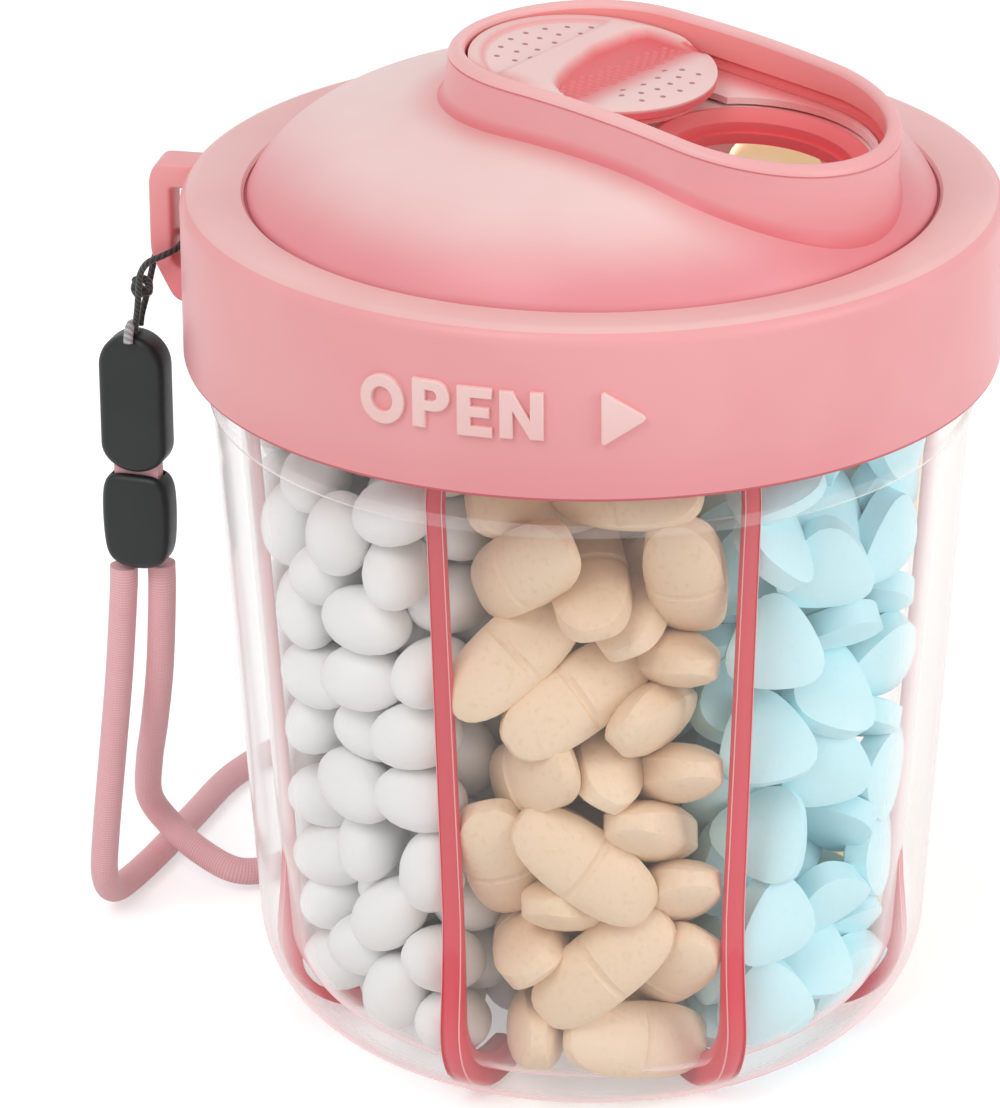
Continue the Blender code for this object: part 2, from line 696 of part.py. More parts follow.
def make_dome(materials, track):
    crown_r = DOME_EDGE_R * DOME_CROWN_SHARE
    shoulder_r = DOME_EDGE_R * DOME_SHOULDER_SHARE
    outer = bezier([(0, DOME_TOP_Z), (crown_r, DOME_TOP_Z),
                    (shoulder_r, DOME_TOP_Z - DOME_SHOULDER_DROP), (DOME_EDGE_R, DOME_EDGE_Z)], DOME_STEPS)
    outer += [(DOME_EDGE_R, FLANGE_TOP_Z), (NECK_R, FLANGE_TOP_Z), (NECK_R, FLANGE_FOOT_Z), (0, FLANGE_FOOT_Z)]
    dome = add_object("dome", turned("dome", outer), materials["pink"])
    cut_with(dome, track_seat_mesh(), frame=track)
    cut_with(dome, track_mesh(), "UNION", frame=track)
    under_top = DOME_TOP_Z - DOME_WALL
    inner_edge = DOME_EDGE_R - DOME_EDGE_WALL
    foot = FLANGE_FOOT_Z - CUT_OVERRUN
    hollow = bezier([(0, under_top), (crown_r, under_top),
                     (shoulder_r - DOME_EDGE_WALL, under_top - DOME_SHOULDER_DROP),
                     (inner_edge, DOME_EDGE_Z - DOME_WALL)], DOME_STEPS)
    hollow += [(inner_edge, foot), (0, foot)]
    cut_with(dome, turned("hollow", hollow))
    cut_with(dome, hole_mesh(), frame=track)
    return smooth(dome)


def make_rails(materials, track):
    """Two low rails on the track's floor that carry the shutter on each side."""
    radius = TRACK_INNER_R - SEAT_GAP
    reach = math.acos(RAIL_INNER / radius)
    for name, side in (("door_rail_rear", 1), ("door_rail_front", -1)):
        outline = []
        for middle, start, end in ((TRACK_TRAVEL, 0.0, reach), (0.0, -reach, 0.0)):
            angles = [math.pi / 2 - start - (end - start) * step / ARC_STEPS for step in range(ARC_STEPS + 1)]
            for angle in angles:
                outline.append((middle + radius * math.cos(angle), side * radius * math.sin(angle)))
        rail = add_object(name, prism(name, outline, RAIL_FOOT, RAIL_TOP), materials["pink"], track)
        bay_r = HOLE_R + RAIL_HOLE_CLEAR
        low = RAIL_FOOT - CUT_OVERRUN
        high = RAIL_TOP + CUT_OVERRUN
        bay = turned("bay", [(0, high), (bay_r, high), (bay_r, low), (0, low)],
                     steps=HOLE_STEPS, place=(HOLE_PLACE, 0.0))
        cut_with(rail, bay, frame=track)
        smooth(rail)


def make_door(materials, track):
    top = DOOR_SEAT + DOOR_THICKNESS
    profile = [(0, top), (DOOR_R - DOOR_EDGE_BEVEL, top), (DOOR_R - DOOR_EDGE_BEVEL / 3, top - DOOR_EDGE_BEVEL / 3),
               (DOOR_R, top - DOOR_EDGE_BEVEL), (DOOR_R, DOOR_SEAT), (0, DOOR_SEAT)]
    door = add_object("door_cap", turned("door_cap", profile, steps=DOOR_STEPS), materials["door"], track)
    scoop_z = top + DOOR_SCOOP_R - DOOR_SCOOP_DEPTH
    ring = []
    for step in range(HOLE_STEPS):
        turn = math.tau * step / HOLE_STEPS
        ring.append((DOOR_SCOOP_PLACE + DOOR_SCOOP_R * math.cos(turn), scoop_z + DOOR_SCOOP_R * math.sin(turn)))
    reach = DOOR_R + CUT_OVERRUN
    scoop = lofted("scoop", [[(x, y, z) for x, z in ring] for y in (-reach, reach)])
    smooth(cut_with(door, scoop, frame=track))


def make_shutter(materials, track):
    high = -SHUTTER_DROP
    low = high - SHUTTER_THICKNESS
    disc = turned("door_shutter", [(0, high), (SHUTTER_R, high), (SHUTTER_R, low), (0, low)], steps=DOOR_STEPS)
    shutter = add_object("door_shutter", disc, materials["pink"], track)
    start = math.acos(TONGUE_HALF_LENGTH / TONGUE_REACH)
    outline = arc((0.0, 0.0), TONGUE_REACH, start, math.pi - start)
    outline += arc((0.0, 0.0), TONGUE_REACH, math.pi + start, math.tau - start)
    cut_with(shutter, prism("tongues", outline, low, high), "UNION", frame=track)
    smooth(shutter)


def rounded(piece, width, segments=2):
    bevel = piece.modifiers.new("rounded", "BEVEL")
    bevel.width = width
    bevel.segments = segments
    bevel.limit_method = "ANGLE"
    bevel.angle_limit = BUCKLE_BEVEL_ANGLE
    return piece


def box_mesh(name, low, high):
    outline = [(low[0], low[1]), (high[0], low[1]), (high[0], high[1]), (low[0], high[1])]
    return prism(name, outline, low[2], high[2])


def face_block(name, outline, thickness):
    """An outline of (x, z) points as a block as thick as the buckle."""
    half = thickness / 2
    return lofted(name, [[(x, y, z) for x, z in outline] for y in (-half, half)])


def upright_hollow(name, low, high):
    """The cavity that both halves share, between two levels of the buckle's frame."""
    half = CAVITY_WIDTH / 2
    deep = CAVITY_THICKNESS / 2
    return box_mesh(name, (-half, -deep, low), (half, deep, high))


def make_buckle_socket(materials, frame):
    """The upper half: a body with round ends and a cavity that opens below."""
    half = BUCKLE_WIDTH / 2
    outline = arc((0.0, -half), half, 0.0, math.pi, BUCKLE_END_STEPS)
    for step in range(BUCKLE_END_STEPS + 1):
        turn = math.pi * step / BUCKLE_END_STEPS
        outline.append((-half * math.cos(turn), SOCKET_FOOT_ROUND * (1 - math.sin(turn)) - SOCKET_HEIGHT))
    socket = add_object("buckle_socket", face_block("buckle_socket", outline, BUCKLE_THICKNESS),
                        materials["black"], frame)
    rounded(socket, BUCKLE_BEVEL)
    cavity = upright_hollow("cavity", -SOCKET_HEIGHT - CUT_OVERRUN, SOCKET_CAVITY_DEPTH - SOCKET_HEIGHT)
    smooth(cut_with(socket, cavity, frame=frame))


def make_buckle_plug(materials, frame):
    """The lower half: a body with soft shoulders, a rounded foot and a cavity on top."""
    top = -SOCKET_HEIGHT - RUNNING_GAP
    foot = top - PLUG_HEIGHT
    half = BUCKLE_WIDTH / 2
    right = [(half * across, top - PLUG_HEIGHT * down) for across, down in PLUG_SIDE_SHARES]
    left = [(-x, z) for x, z in reversed(right)]
    narrow = right[-1][0]
    bottom = []
    for step in range(1, BUCKLE_END_STEPS):
        share = 1 - 2 * step / BUCKLE_END_STEPS
        bottom.append((narrow * share, foot + PLUG_FOOT_CROWN * share * share))
    plug = add_object("buckle_plug", face_block("buckle_plug", right + bottom + left, BUCKLE_THICKNESS),
                      materials["black"], frame)
    rounded(plug, BUCKLE_BEVEL)
    smooth(cut_with(plug, upright_hollow("cavity", top - PLUG_CAVITY_DEPTH, top + CUT_OVERRUN), frame=frame))


def make_buckle_tongue(materials, frame):
    """The flat tongue that joins the halves: it is fixed below and slides out above."""
    half = TONGUE_WIDTH / 2
    thin_half = TONGUE_THICKNESS / 2
    low = -SOCKET_HEIGHT - RUNNING_GAP - PLUG_CAVITY_DEPTH + SEAT_GAP
    high = SOCKET_CAVITY_DEPTH - SOCKET_HEIGHT - TONGUE_END_GAP
    tongue = box_mesh("buckle_tongue", (-half, -thin_half, low), (half, thin_half, high))
    smooth(add_object("buckle_tongue", tongue, materials["strap"], frame))


def smooth_route(points, count):
    """Evenly spaced points on a Catmull-Rom curve through the route's own points."""
    knots = [Vector(point) for point in points]
    padded = [knots[0] * 2 - knots[1]] + knots + [knots[-1] * 2 - knots[-2]]
    fine = []
    for before, start, end, after in zip(padded, padded[1:], padded[2:], padded[3:]):
        for step in range(ROUTE_STEPS):
            t = step / ROUTE_STEPS
            fine.append((start * 2 + (end - before) * t + (before * 2 - start * 5 + end * 4 - after) * t * t
                         + (start * 3 - before - end * 3 + after) * t ** 3) / 2)
    fine.append(knots[-1])
    lengths = [0.0]
    for first, second in zip(fine, fine[1:]):
        lengths.append(lengths[-1] + (second - first).length)
    spaced = []
    place = 0
    for index in range(count):
        wanted = lengths[-1] * index / (count - 1)
        while place < len(fine) - 2 and lengths[place + 1] < wanted:
            place += 1
        span = lengths[place + 1] - lengths[place]
        spaced.append(fine[place].lerp(fine[place + 1], (wanted - lengths[place]) / span))
    return spaced, lengths[-1]


def make_cord(name, route, radius, resolution, count, material):
    points, length = smooth_route(route, count)
    curve = bpy.data.curves.new(name, "CURVE")
    curve.dimensions = "3D"
    curve.bevel_depth = radius
    curve.bevel_resolution = resolution
    curve.use_fill_caps = True
    spline = curve.splines.new("POLY")
    spline.points.add(len(points) - 1)
    for spot, point in zip(spline.points, points):
        spot.co = (*point, 1.0)
    curve.materials.append(material)
    cord = bpy.data.objects.new(name, curve)
    bpy.context.collection.objects.link(cord)
    print(f"{name}: {length:.4f} m")
    return cord


def cord_route():
    """The hanging cord's points in the world, from their places about the lug."""
    outwards = Vector((math.cos(LUG_AZIMUTH), math.sin(LUG_AZIMUTH), 0.0))
    sideways = Vector((-math.sin(LUG_AZIMUTH), math.cos(LUG_AZIMUTH), 0.0))
    return [outwards * reach + sideways * side + Vector((0.0, 0.0, height)) for reach, side, height in CORD_ROUTE]


def build():
    clear_scene()
    materials = make_materials()
    tilt = Matrix.Rotation(TRACK_AZIMUTH, 4, "Z") @ Matrix.Rotation(TRACK_TILT, 4, "Y")
    track = add_frame("track_frame", Matrix.Translation((0.0, 0.0, TRACK_SEAT_Z)) @ tilt)
    buckle_place = Vector((math.cos(LUG_AZIMUTH), math.sin(LUG_AZIMUTH), 0.0)) * BUCKLE_REACH
    buckle_place.z = CORD_ROUTE[0][2] - SEAT_GAP
    buckle = add_frame("buckle_frame", Matrix.Translation(buckle_place) @ Matrix.Rotation(BUCKLE_TURN, 4, "Z"))
    bpy.context.view_layer.update()

    make_cup(materials)
    make_divider(materials)
    make_divider_edges(materials)
    make_seal(materials)
    make_collar(materials)
    make_dome(materials, track)
    make_rails(materials, track)
    make_door(materials, track)
    make_shutter(materials, track)
    make_buckle_socket(materials, buckle)
    make_buckle_plug(materials, buckle)
    make_buckle_tongue(materials, buckle)
    make_cord("strap_cord", cord_route(), CORD_R, CORD_BEVEL_RESOLUTION, CORD_POINTS, materials["cord"])
    make_cord("wrist_strap", STRAP_ROUTE, STRAP_R, STRAP_BEVEL_RESOLUTION, STRAP_POINTS, materials["strap"])


build()
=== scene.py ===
# %% [markdown]
# # A weekly pill dispenser
#
# The real object is a clear cup with seven compartments under a pink twist-off lid. The lid is
# three things that move on each other: a collar that screws down, a dome that turns in the
# collar, and a door that slides along a raised track over the one hole. A wrist strap hangs from
# a lug at the side. The CAD model gives the frame and the motions; this lesson dresses it.

import math

import bmesh
import bpy
import numpy as np
from mathutils import Matrix, Quaternion, Vector


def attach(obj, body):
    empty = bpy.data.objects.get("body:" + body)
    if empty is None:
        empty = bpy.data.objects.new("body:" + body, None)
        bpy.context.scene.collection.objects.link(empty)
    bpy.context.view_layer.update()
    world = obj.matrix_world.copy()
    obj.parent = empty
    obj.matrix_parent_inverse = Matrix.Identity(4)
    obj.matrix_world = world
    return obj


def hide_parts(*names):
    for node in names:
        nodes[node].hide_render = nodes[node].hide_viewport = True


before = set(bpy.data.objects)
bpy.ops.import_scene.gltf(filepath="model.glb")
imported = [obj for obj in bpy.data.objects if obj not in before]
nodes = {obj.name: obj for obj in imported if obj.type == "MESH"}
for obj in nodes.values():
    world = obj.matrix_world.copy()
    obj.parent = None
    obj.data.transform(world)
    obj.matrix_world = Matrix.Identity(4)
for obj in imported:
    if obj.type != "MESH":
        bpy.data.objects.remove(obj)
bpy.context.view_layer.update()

# %% [markdown]
# ## The camera
#
# The camera stands where the photographer stood: a long lens, a little over 60 cm away, looking
# down by 24 degrees. It is turned slightly to the left, so that the cup sits right of the middle
# while its axis stays upright. Writing the lens as a focal length in pixels lets the same numbers
# send a line of sight through any pixel, which later places the letters and the tablets.

# %% Camera
IMAGE_WIDTH = 1000
IMAGE_HEIGHT = 1108
FOCAL_PIXELS = 6000
CUP_AXIS_PIXEL = 591.7
SENSOR = 36
CAMERA_HEIGHT_ANGLE = math.radians(23.7)
CAMERA_DISTANCE = 0.6276
CAMERA_TARGET = Vector((0, 0, 0.0504))

camera_data = bpy.data.cameras.new("camera")
camera = bpy.data.objects.new("camera", camera_data)
bpy.context.scene.collection.objects.link(camera)
bpy.context.scene.camera = camera
back = Vector((0, -math.cos(CAMERA_HEIGHT_ANGLE), math.sin(CAMERA_HEIGHT_ANGLE)))
turn_left = math.atan((CUP_AXIS_PIXEL - IMAGE_WIDTH / 2) / FOCAL_PIXELS)
camera.location = CAMERA_TARGET + back * CAMERA_DISTANCE
camera.rotation_mode = "QUATERNION"
camera.rotation_quaternion = (-back).to_track_quat("-Z", "Y") @ Quaternion((0, 1, 0), turn_left)
camera_data.lens = FOCAL_PIXELS * SENSOR / IMAGE_HEIGHT
camera_data.sensor_width = SENSOR
camera_data.clip_start = 0.01
camera_data.clip_end = 20


def sight_line(x, y):
    """The direction in which the camera sees one pixel of the photograph."""
    aim = Vector((x - IMAGE_WIDTH / 2, IMAGE_HEIGHT / 2 - y, -FOCAL_PIXELS)).normalized()
    return camera.rotation_quaternion @ aim


print("Lens in mm:", round(camera_data.lens, 1))

# %% [markdown]
# ## Small tools for shapes
#
# Nearly every piece here is a skin over rings of points: a lathe turns a profile into rings, and
# a track or a cord is a row of outlines. One function that joins rings is therefore enough, and
# two more put the result in the scene and set which edges stay crisp.

# %% Rings, skins and lathes
CRISP_ANGLE = math.radians(34)
TUBE_CRISP_ANGLE = math.radians(50)
LATHE_STEPS = 176
SAME_POINT = 1e-7
QUARTER = math.pi / 2


def add_piece(name, mesh, material=None):
    piece = bpy.data.objects.new(name, mesh)
    bpy.context.scene.collection.objects.link(piece)
    if material:
        mesh.materials.clear()
        mesh.materials.append(material)
    return piece


def crisp(mesh, angle=CRISP_ANGLE):
    mesh.shade_smooth()
    mesh.set_sharp_from_angle(angle=angle)
    return mesh


def bridge(bm, rings, capped=False, joined_ends=False):
    """Adds a surface through rings of points, where each ring closes on itself."""
    rows = [[bm.verts.new(point) for point in ring] for ring in rings]
    pairs = list(zip(rows, rows[1:]))
    if joined_ends:
        pairs.append((rows[-1], rows[0]))
    for low, high in pairs:
        for step in range(len(low)):
            after = (step + 1) % len(low)
            bm.faces.new((low[step], low[after], high[after], high[step]))
    if capped:
        bm.faces.new(rows[0])
        bm.faces.new(rows[-1])


def finished(name, bm, angle=CRISP_ANGLE):
    """The mesh that a bmesh holds, with its faces turned outwards."""
    bmesh.ops.recalc_face_normals(bm, faces=bm.faces)
    mesh = bpy.data.meshes.new(name)
    bm.to_mesh(mesh)
    bm.free()
    return crisp(mesh, angle)


def skin(name, rings, capped=False, joined_ends=False):
    bm = bmesh.new()
    bridge(bm, rings, capped, joined_ends)
    bmesh.ops.remove_doubles(bm, verts=bm.verts, dist=SAME_POINT)
    return finished(name, bm)


def polar(radius, turn, height):
    return (radius * math.cos(turn), radius * math.sin(turn), height)


def circle(radius, height, steps):
    """A level ring of points about the upright axis."""
    return [polar(radius, math.tau * step / steps, height) for step in range(steps)]


def turned(name, profile, joined_ends=False):
    """A lathe: (radius, height) points turned about the upright axis."""
    rings = [circle(radius, height, LATHE_STEPS) for radius, height in profile]
    return skin(name, rings, joined_ends=joined_ends)


def arc(centre, radius, start, end, steps):
    """Points on an arc in the (radius, height) plane."""
    angles = [start + (end - start) * step / steps for step in range(steps + 1)]
    return [(centre[0] + radius * math.cos(a), centre[1] + radius * math.sin(a)) for a in angles]


def bezier(points, steps):
    """Points on the cubic curve with these four control points."""
    a, b, c, d = (Vector(point) for point in points)
    shares = [step / steps for step in range(steps + 1)]
    return [tuple(a * (1 - t) ** 3 + b * 3 * (1 - t) ** 2 * t + c * 3 * (1 - t) * t * t + d * t ** 3)
            for t in shares]


def smooth_route(points, steps=12):
    """A curve that passes through all the points, as many short steps."""
    knots = [Vector(point) for point in points]
    padded = [knots[0] * 2 - knots[1]] + knots + [knots[-1] * 2 - knots[-2]]
    fine = []
    for before, start, end, after in zip(padded, padded[1:], padded[2:], padded[3:]):
        for step in range(steps):
            t = step / steps
            bend = before * 2 - start * 5 + end * 4 - after
            twist = start * 3 - before - end * 3 + after
            fine.append((start * 2 + (end - before) * t + bend * t * t + twist * t ** 3) / 2)
    return fine + [knots[-1]]


def ease(value, low, high):
    """A smooth step from 0 at low to 1 at high."""
    share = min(max((value - low) / (high - low), 0.0), 1.0)
    return share * share * (3 - 2 * share)


def route_length(points):
    return sum((b - a).length for a, b in zip(points, points[1:]))


def tube(name, points, radius, sides):
    """A round cord along a route, with UVs in millimetres: u goes round it, v along it."""
    tangents = [(b - a).normalized() for a, b in zip(points, points[1:])]
    tangents.append(tangents[-1])
    turns = [math.tau * side / sides for side in range(sides)]
    across = tangents[0].orthogonal().normalized()
    rings = []
    for point, tangent in zip(points, tangents):
        across = (across - tangent * across.dot(tangent)).normalized()
        other = tangent.cross(across)
        rings.append([point + (across * math.cos(turn) + other * math.sin(turn)) * radius for turn in turns])
    bm = bmesh.new()
    uv = bm.loops.layers.uv.new("along")
    bridge(bm, rings, capped=True)
    faces = iter(bm.faces)
    run = 0.0
    for start, end in zip(points, points[1:]):
        step = (end - start).length
        for side in range(sides):
            spots = [(side, run), (side + 1, run), (side + 1, run + step), (side, run + step)]
            for loop, (u, v) in zip(next(faces).loops, spots):
                loop[uv].uv = (u / sides, v * 1000)
        run += step
    return finished(name, bm, TUBE_CRISP_ANGLE)


def dress(piece, body):
    """The piece moves with a CAD body."""
    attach(piece, body)
    return piece


# %% [markdown]
# ## The two cords
#
# A thin black cord loops through the lug and carries the buckle; a soft pink strap loops from the
# buckle down to the table and rests behind the cup. Both are fixed lengths of something limp, so
# they are tubes along the routes that the CAD gives. A tube of our own has UVs that run along it,
# and the weave needs those.

# %% Hanging cord
LUG_ANGLE = math.radians(169)
CORD_RADIUS = 0.00035
CORD_SIDE = [
    (0.04840, 0.00110, 0.07210),
    (0.04822, 0.00122, 0.07340),
    (0.04780, 0.00190, 0.07540),
    (0.04740, 0.00268, 0.07780),
    (0.04700, 0.00325, 0.07960),
    (0.04600, 0.00385, 0.08110),
    (0.04450, 0.00375, 0.08190),
    (0.04340, 0.00265, 0.08230),
    (0.04302, 0.00100, 0.08250),
]
lug_out = Vector((math.cos(LUG_ANGLE), math.sin(LUG_ANGLE), 0))
lug_side = Vector((-math.sin(LUG_ANGLE), math.cos(LUG_ANGLE), 0))


def about_lug(reach, side, height):
    """A point from its distance out from the cup's axis, its side step and its height."""
    return lug_out * reach + lug_side * side + Vector((0, 0, height))


cord_points = [about_lug(*spot) for spot in CORD_SIDE]
cord_points += [about_lug(reach, -side, height) for reach, side, height in reversed(CORD_SIDE)]
cord_line = smooth_route(cord_points)
hanging_cord = add_piece("hanging_cord", tube("hanging_cord", cord_line, CORD_RADIUS, sides=10))
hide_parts("strap_cord")
dress(hanging_cord, "collar")
print("Hanging cord in mm:", round(1000 * route_length(cord_line), 1))

# %% Wrist strap
STRAP_RADIUS = 0.0015
STRAP_ROUTE = [
    (-0.04985, 0.00975, 0.04480),
    (-0.05000, 0.00980, 0.04150),
    (-0.05080, 0.01060, 0.03200),
    (-0.05190, 0.01170, 0.02200),
    (-0.05300, 0.01240, 0.01200),
    (-0.05345, 0.01370, 0.00620),
    (-0.05290, 0.01680, 0.00270),
    (-0.05120, 0.02150, 0.00165),
    (-0.04830, 0.02860, 0.00160),
    (-0.04500, 0.03800, 0.00160),
    (-0.04120, 0.04800, 0.00160),
    (-0.03550, 0.05550, 0.00160),
    (-0.02650, 0.06020, 0.00160),
    (-0.01700, 0.05980, 0.00160),
    (-0.01050, 0.05420, 0.00160),
    (-0.01000, 0.04720, 0.00160),
    (-0.01550, 0.04230, 0.00160),
    (-0.02350, 0.03800, 0.00160),
    (-0.03030, 0.03120, 0.00160),
    (-0.03480, 0.02450, 0.00170),
    (-0.03930, 0.02200, 0.00230),
    (-0.04360, 0.02400, 0.00370),
    (-0.04700, 0.02680, 0.00560),
    (-0.04920, 0.02600, 0.00960),
    (-0.04880, 0.02180, 0.01600),
    (-0.04770, 0.01720, 0.02300),
    (-0.04660, 0.01300, 0.03150),
    (-0.04595, 0.01075, 0.04100),
    (-0.04590, 0.01060, 0.04480),
]
strap_line = smooth_route(STRAP_ROUTE)
strap_loop = add_piece("strap_loop", tube("strap_loop", strap_line, STRAP_RADIUS, sides=20))
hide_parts("wrist_strap")
dress(strap_loop, "strap")
print("Wrist strap in mm:", round(1000 * route_length(strap_line), 1))

# %% [markdown]
# ## Shared surface effects
#
# Moulded plastic is never one flat colour. Its pigment drifts a little, a fine grain breaks up its
# shine, and light scatters differently near its foot. Each such effect is a node group with named
# inputs, built once and placed in every material that needs it, so that all the plastics look
# as if they came from the same works.

# %% Colour and node helpers


def paint(red, green, blue):
    """A colour as seen on a screen, 0 to 255, as the linear colour that Blender mixes."""
    linear = []
    for part in (red, green, blue):
        share = part / 255
        linear.append(share / 12.92 if share < 0.04045 else ((share + 0.055) / 1.055) ** 2.4)
    return (*linear, 1.0)


def feed(tree, socket, value):
    """Gives a socket a constant, or links another node's output to it."""
    if isinstance(value, (int, float, tuple)):
        socket.default_value = value
    else:
        tree.links.new(value, socket)


def new_group(name, inputs, outputs):
    """An empty node group. An input's default value shows its kind; of the outputs, Colour is one."""
    group = bpy.data.node_groups.new(name, "ShaderNodeTree")
    for label, value in inputs.items():
        kind = "NodeSocketColor" if isinstance(value, tuple) else "NodeSocketFloat"
        group.interface.new_socket(label, in_out="INPUT", socket_type=kind).default_value = value
    for label in outputs:
        kind = "NodeSocketColor" if label == "Colour" else "NodeSocketFloat"
        group.interface.new_socket(label, in_out="OUTPUT", socket_type=kind)
    return group, group.nodes.new("NodeGroupInput").outputs, group.nodes.new("NodeGroupOutput").inputs


def add_math(tree, operation, first, second=0.0, clamp=False):
    """A Math node. Each of its two inputs is a number or another node's output."""
    node = tree.nodes.new("ShaderNodeMath")
    node.operation = operation
    node.use_clamp = clamp
    feed(tree, node.inputs[0], first)
    feed(tree, node.inputs[1], second)
    return node.outputs[0]


def times(tree, first, second, clamp=False):
    return add_math(tree, "MULTIPLY", first, second, clamp)


def plus(tree, first, second, clamp=False):
    return add_math(tree, "ADD", first, second, clamp)


def add_mix(tree, share, first, second):
    """A Mix node for colours. The share and both colours are values or outputs."""
    node = tree.nodes.new("ShaderNodeMix")
    node.data_type = "RGBA"
    for socket, value in zip((node.inputs["Factor"], node.inputs[6], node.inputs[7]), (share, first, second)):
        feed(tree, socket, value)
    return node.outputs[2]


def own_place(tree):
    """The object's own place in metres."""
    return tree.nodes.new("ShaderNodeTexCoord").outputs["Object"]


def part_of(tree, vector, axis):
    parts = tree.nodes.new("ShaderNodeSeparateXYZ")
    tree.links.new(vector, parts.inputs[0])
    return parts.outputs[axis]


def add_noise(tree, scale, detail=2.0, roughness=0.5):
    """Noise over the object's own place."""
    node = tree.nodes.new("ShaderNodeTexNoise")
    inputs = (("Vector", own_place(tree)), ("Scale", scale), ("Detail", detail), ("Roughness", roughness))
    for label, value in inputs:
        feed(tree, node.inputs[label], value)
    return node.outputs["Fac"]


def spread(tree, value, low, high):
    """Stretches the part of a value between low and high over the whole of 0 to 1."""
    node = tree.nodes.new("ShaderNodeMapRange")
    node.interpolation_type = "SMOOTHSTEP"
    for label, number in (("Value", value), ("From Min", low), ("From Max", high)):
        feed(tree, node.inputs[label], number)
    return node.outputs["Result"]


# %% Shared effects
FIRST_GREY = (0.8, 0.8, 0.8, 1)
SECOND_GREY = (0.7, 0.7, 0.7, 1)
SURFACE = ("Colour", "Roughness", "Height")
DRIFT_RANGE = (0.3, 0.7)
TOOTH_SCALE = 2600.0
TOOTH_ROUGHNESS = 0.16
POWDER_ROUGHNESS = 0.42
SPECK_SCALE = 1500.0
SPECK_RANGE = (0.52, 0.72)
OWN_SHADE_SHARE = 0.35
RIDGE_SHARE = 0.36
STRAND_SHARE = 0.14
THREAD_RANGE = (0.25, 0.75)


def build_moulded_group():
    """A pigment that drifts, and a fine grain that makes the shine uneven."""
    group, given, made = new_group("moulded plastic", {
        "Colour": FIRST_GREY, "Drift Colour": SECOND_GREY, "Drift Scale": 40.0, "Grain Scale": 3000.0,
        "Roughness": 0.4, "Roughness Spread": 0.08}, SURFACE)
    drift = spread(group, add_noise(group, given["Drift Scale"]), *DRIFT_RANGE)
    grain = add_noise(group, given["Grain Scale"], detail=4.0)
    swing = times(group, add_math(group, "SUBTRACT", grain, 0.5), given["Roughness Spread"])
    feed(group, made["Colour"], add_mix(group, drift, given["Colour"], given["Drift Colour"]))
    feed(group, made["Roughness"], plus(group, given["Roughness"], swing))
    feed(group, made["Height"], grain)
    return group


def build_height_group():
    """A mask that goes from 0 at one height to 1 at another, in the object's own metres."""
    group, given, made = new_group("between heights", {"Start Height": 0.0, "End Height": 0.01}, ("Mask",))
    height = part_of(group, own_place(group), "Z")
    feed(group, made["Mask"], spread(group, height, given["Start Height"], given["End Height"]))
    return group


def build_pressed_powder_group():
    """Pressed powder: pale and dark specks, a soft tooth, and a shade of its own per tablet."""
    group, given, made = new_group("pressed powder", {
        "Colour": FIRST_GREY, "Speck Colour": SECOND_GREY, "Speck Amount": 0.4, "Tablet Shade": 0.5}, SURFACE)
    tooth = add_noise(group, TOOTH_SCALE, detail=5.0, roughness=0.7)
    specks = spread(group, add_noise(group, SPECK_SCALE, detail=3.0), *SPECK_RANGE)
    amount = times(group, specks, given["Speck Amount"])
    share = plus(group, amount, times(group, given["Tablet Shade"], OWN_SHADE_SHARE), clamp=True)
    feed(group, made["Colour"], add_mix(group, share, given["Colour"], given["Speck Colour"]))
    feed(group, made["Roughness"], plus(group, times(group, tooth, TOOTH_ROUGHNESS), POWDER_ROUGHNESS))
    feed(group, made["Height"], tooth)
    return group


def build_weave_group():
    """Woven threads on a cord whose v runs along it in millimetres and u goes round it."""
    group, given, made = new_group("woven threads", {
        "Threads per mm": 2.0, "Strands Round": 10.0, "Slant": 0.0}, ("Mask", "Height"))
    along = group.nodes.new("ShaderNodeUVMap")
    along.uv_map = "along"
    rows = times(group, part_of(group, along.outputs["UV"], "Y"), given["Threads per mm"])
    columns = times(group, part_of(group, along.outputs["UV"], "X"), given["Strands Round"])
    slanted = plus(group, rows, times(group, columns, given["Slant"]))
    ridge = times(group, add_math(group, "SINE", times(group, slanted, math.tau)), RIDGE_SHARE)
    strand = times(group, add_math(group, "SINE", times(group, columns, math.tau)), STRAND_SHARE)
    height = plus(group, plus(group, ridge, strand), 0.5, clamp=True)
    feed(group, made["Mask"], spread(group, height, *THREAD_RANGE))
    feed(group, made["Height"], height)
    return group


moulded_plastic = build_moulded_group()
between_heights = build_height_group()
pressed_powder = build_pressed_powder_group()
woven_threads = build_weave_group()
print("Shared effects:", [group.name for group in bpy.data.node_groups])

# %% Material helpers
GLOSS_OF_PLASTIC = 1.46
SHINE_OF_PLASTIC = 0.35


def new_material(name, **constants):
    """A material whose unchanging numbers sit on the shader's own sockets."""
    material = bpy.data.materials.new(name)
    material.use_nodes = True
    shader = material.node_tree.nodes["Principled BSDF"]
    for label, value in constants.items():
        shader.inputs[label.replace("_", " ")].default_value = value
    return material, material.node_tree, shader


def place_group(tree, group, **values):
    """A group with a constant or another node's output on each input named here."""
    node = tree.nodes.new("ShaderNodeGroup")
    node.node_tree = group
    for label, value in values.items():
        feed(tree, node.inputs[label.replace("_", " ")], value)
    return node.outputs


def link_surface(tree, shader, surface, bump=0.0, distance=0.0):
    """Gives the shader a surface's colour and roughness and, with a bump, its height."""
    tree.links.new(surface["Colour"], shader.inputs["Base Color"])
    tree.links.new(surface["Roughness"], shader.inputs["Roughness"])
    if bump:
        node = tree.nodes.new("ShaderNodeBump")
        node.inputs["Strength"].default_value = bump
        node.inputs["Distance"].default_value = distance
        tree.links.new(surface["Height"], node.inputs["Height"])
        tree.links.new(node.outputs["Normal"], shader.inputs["Normal"])


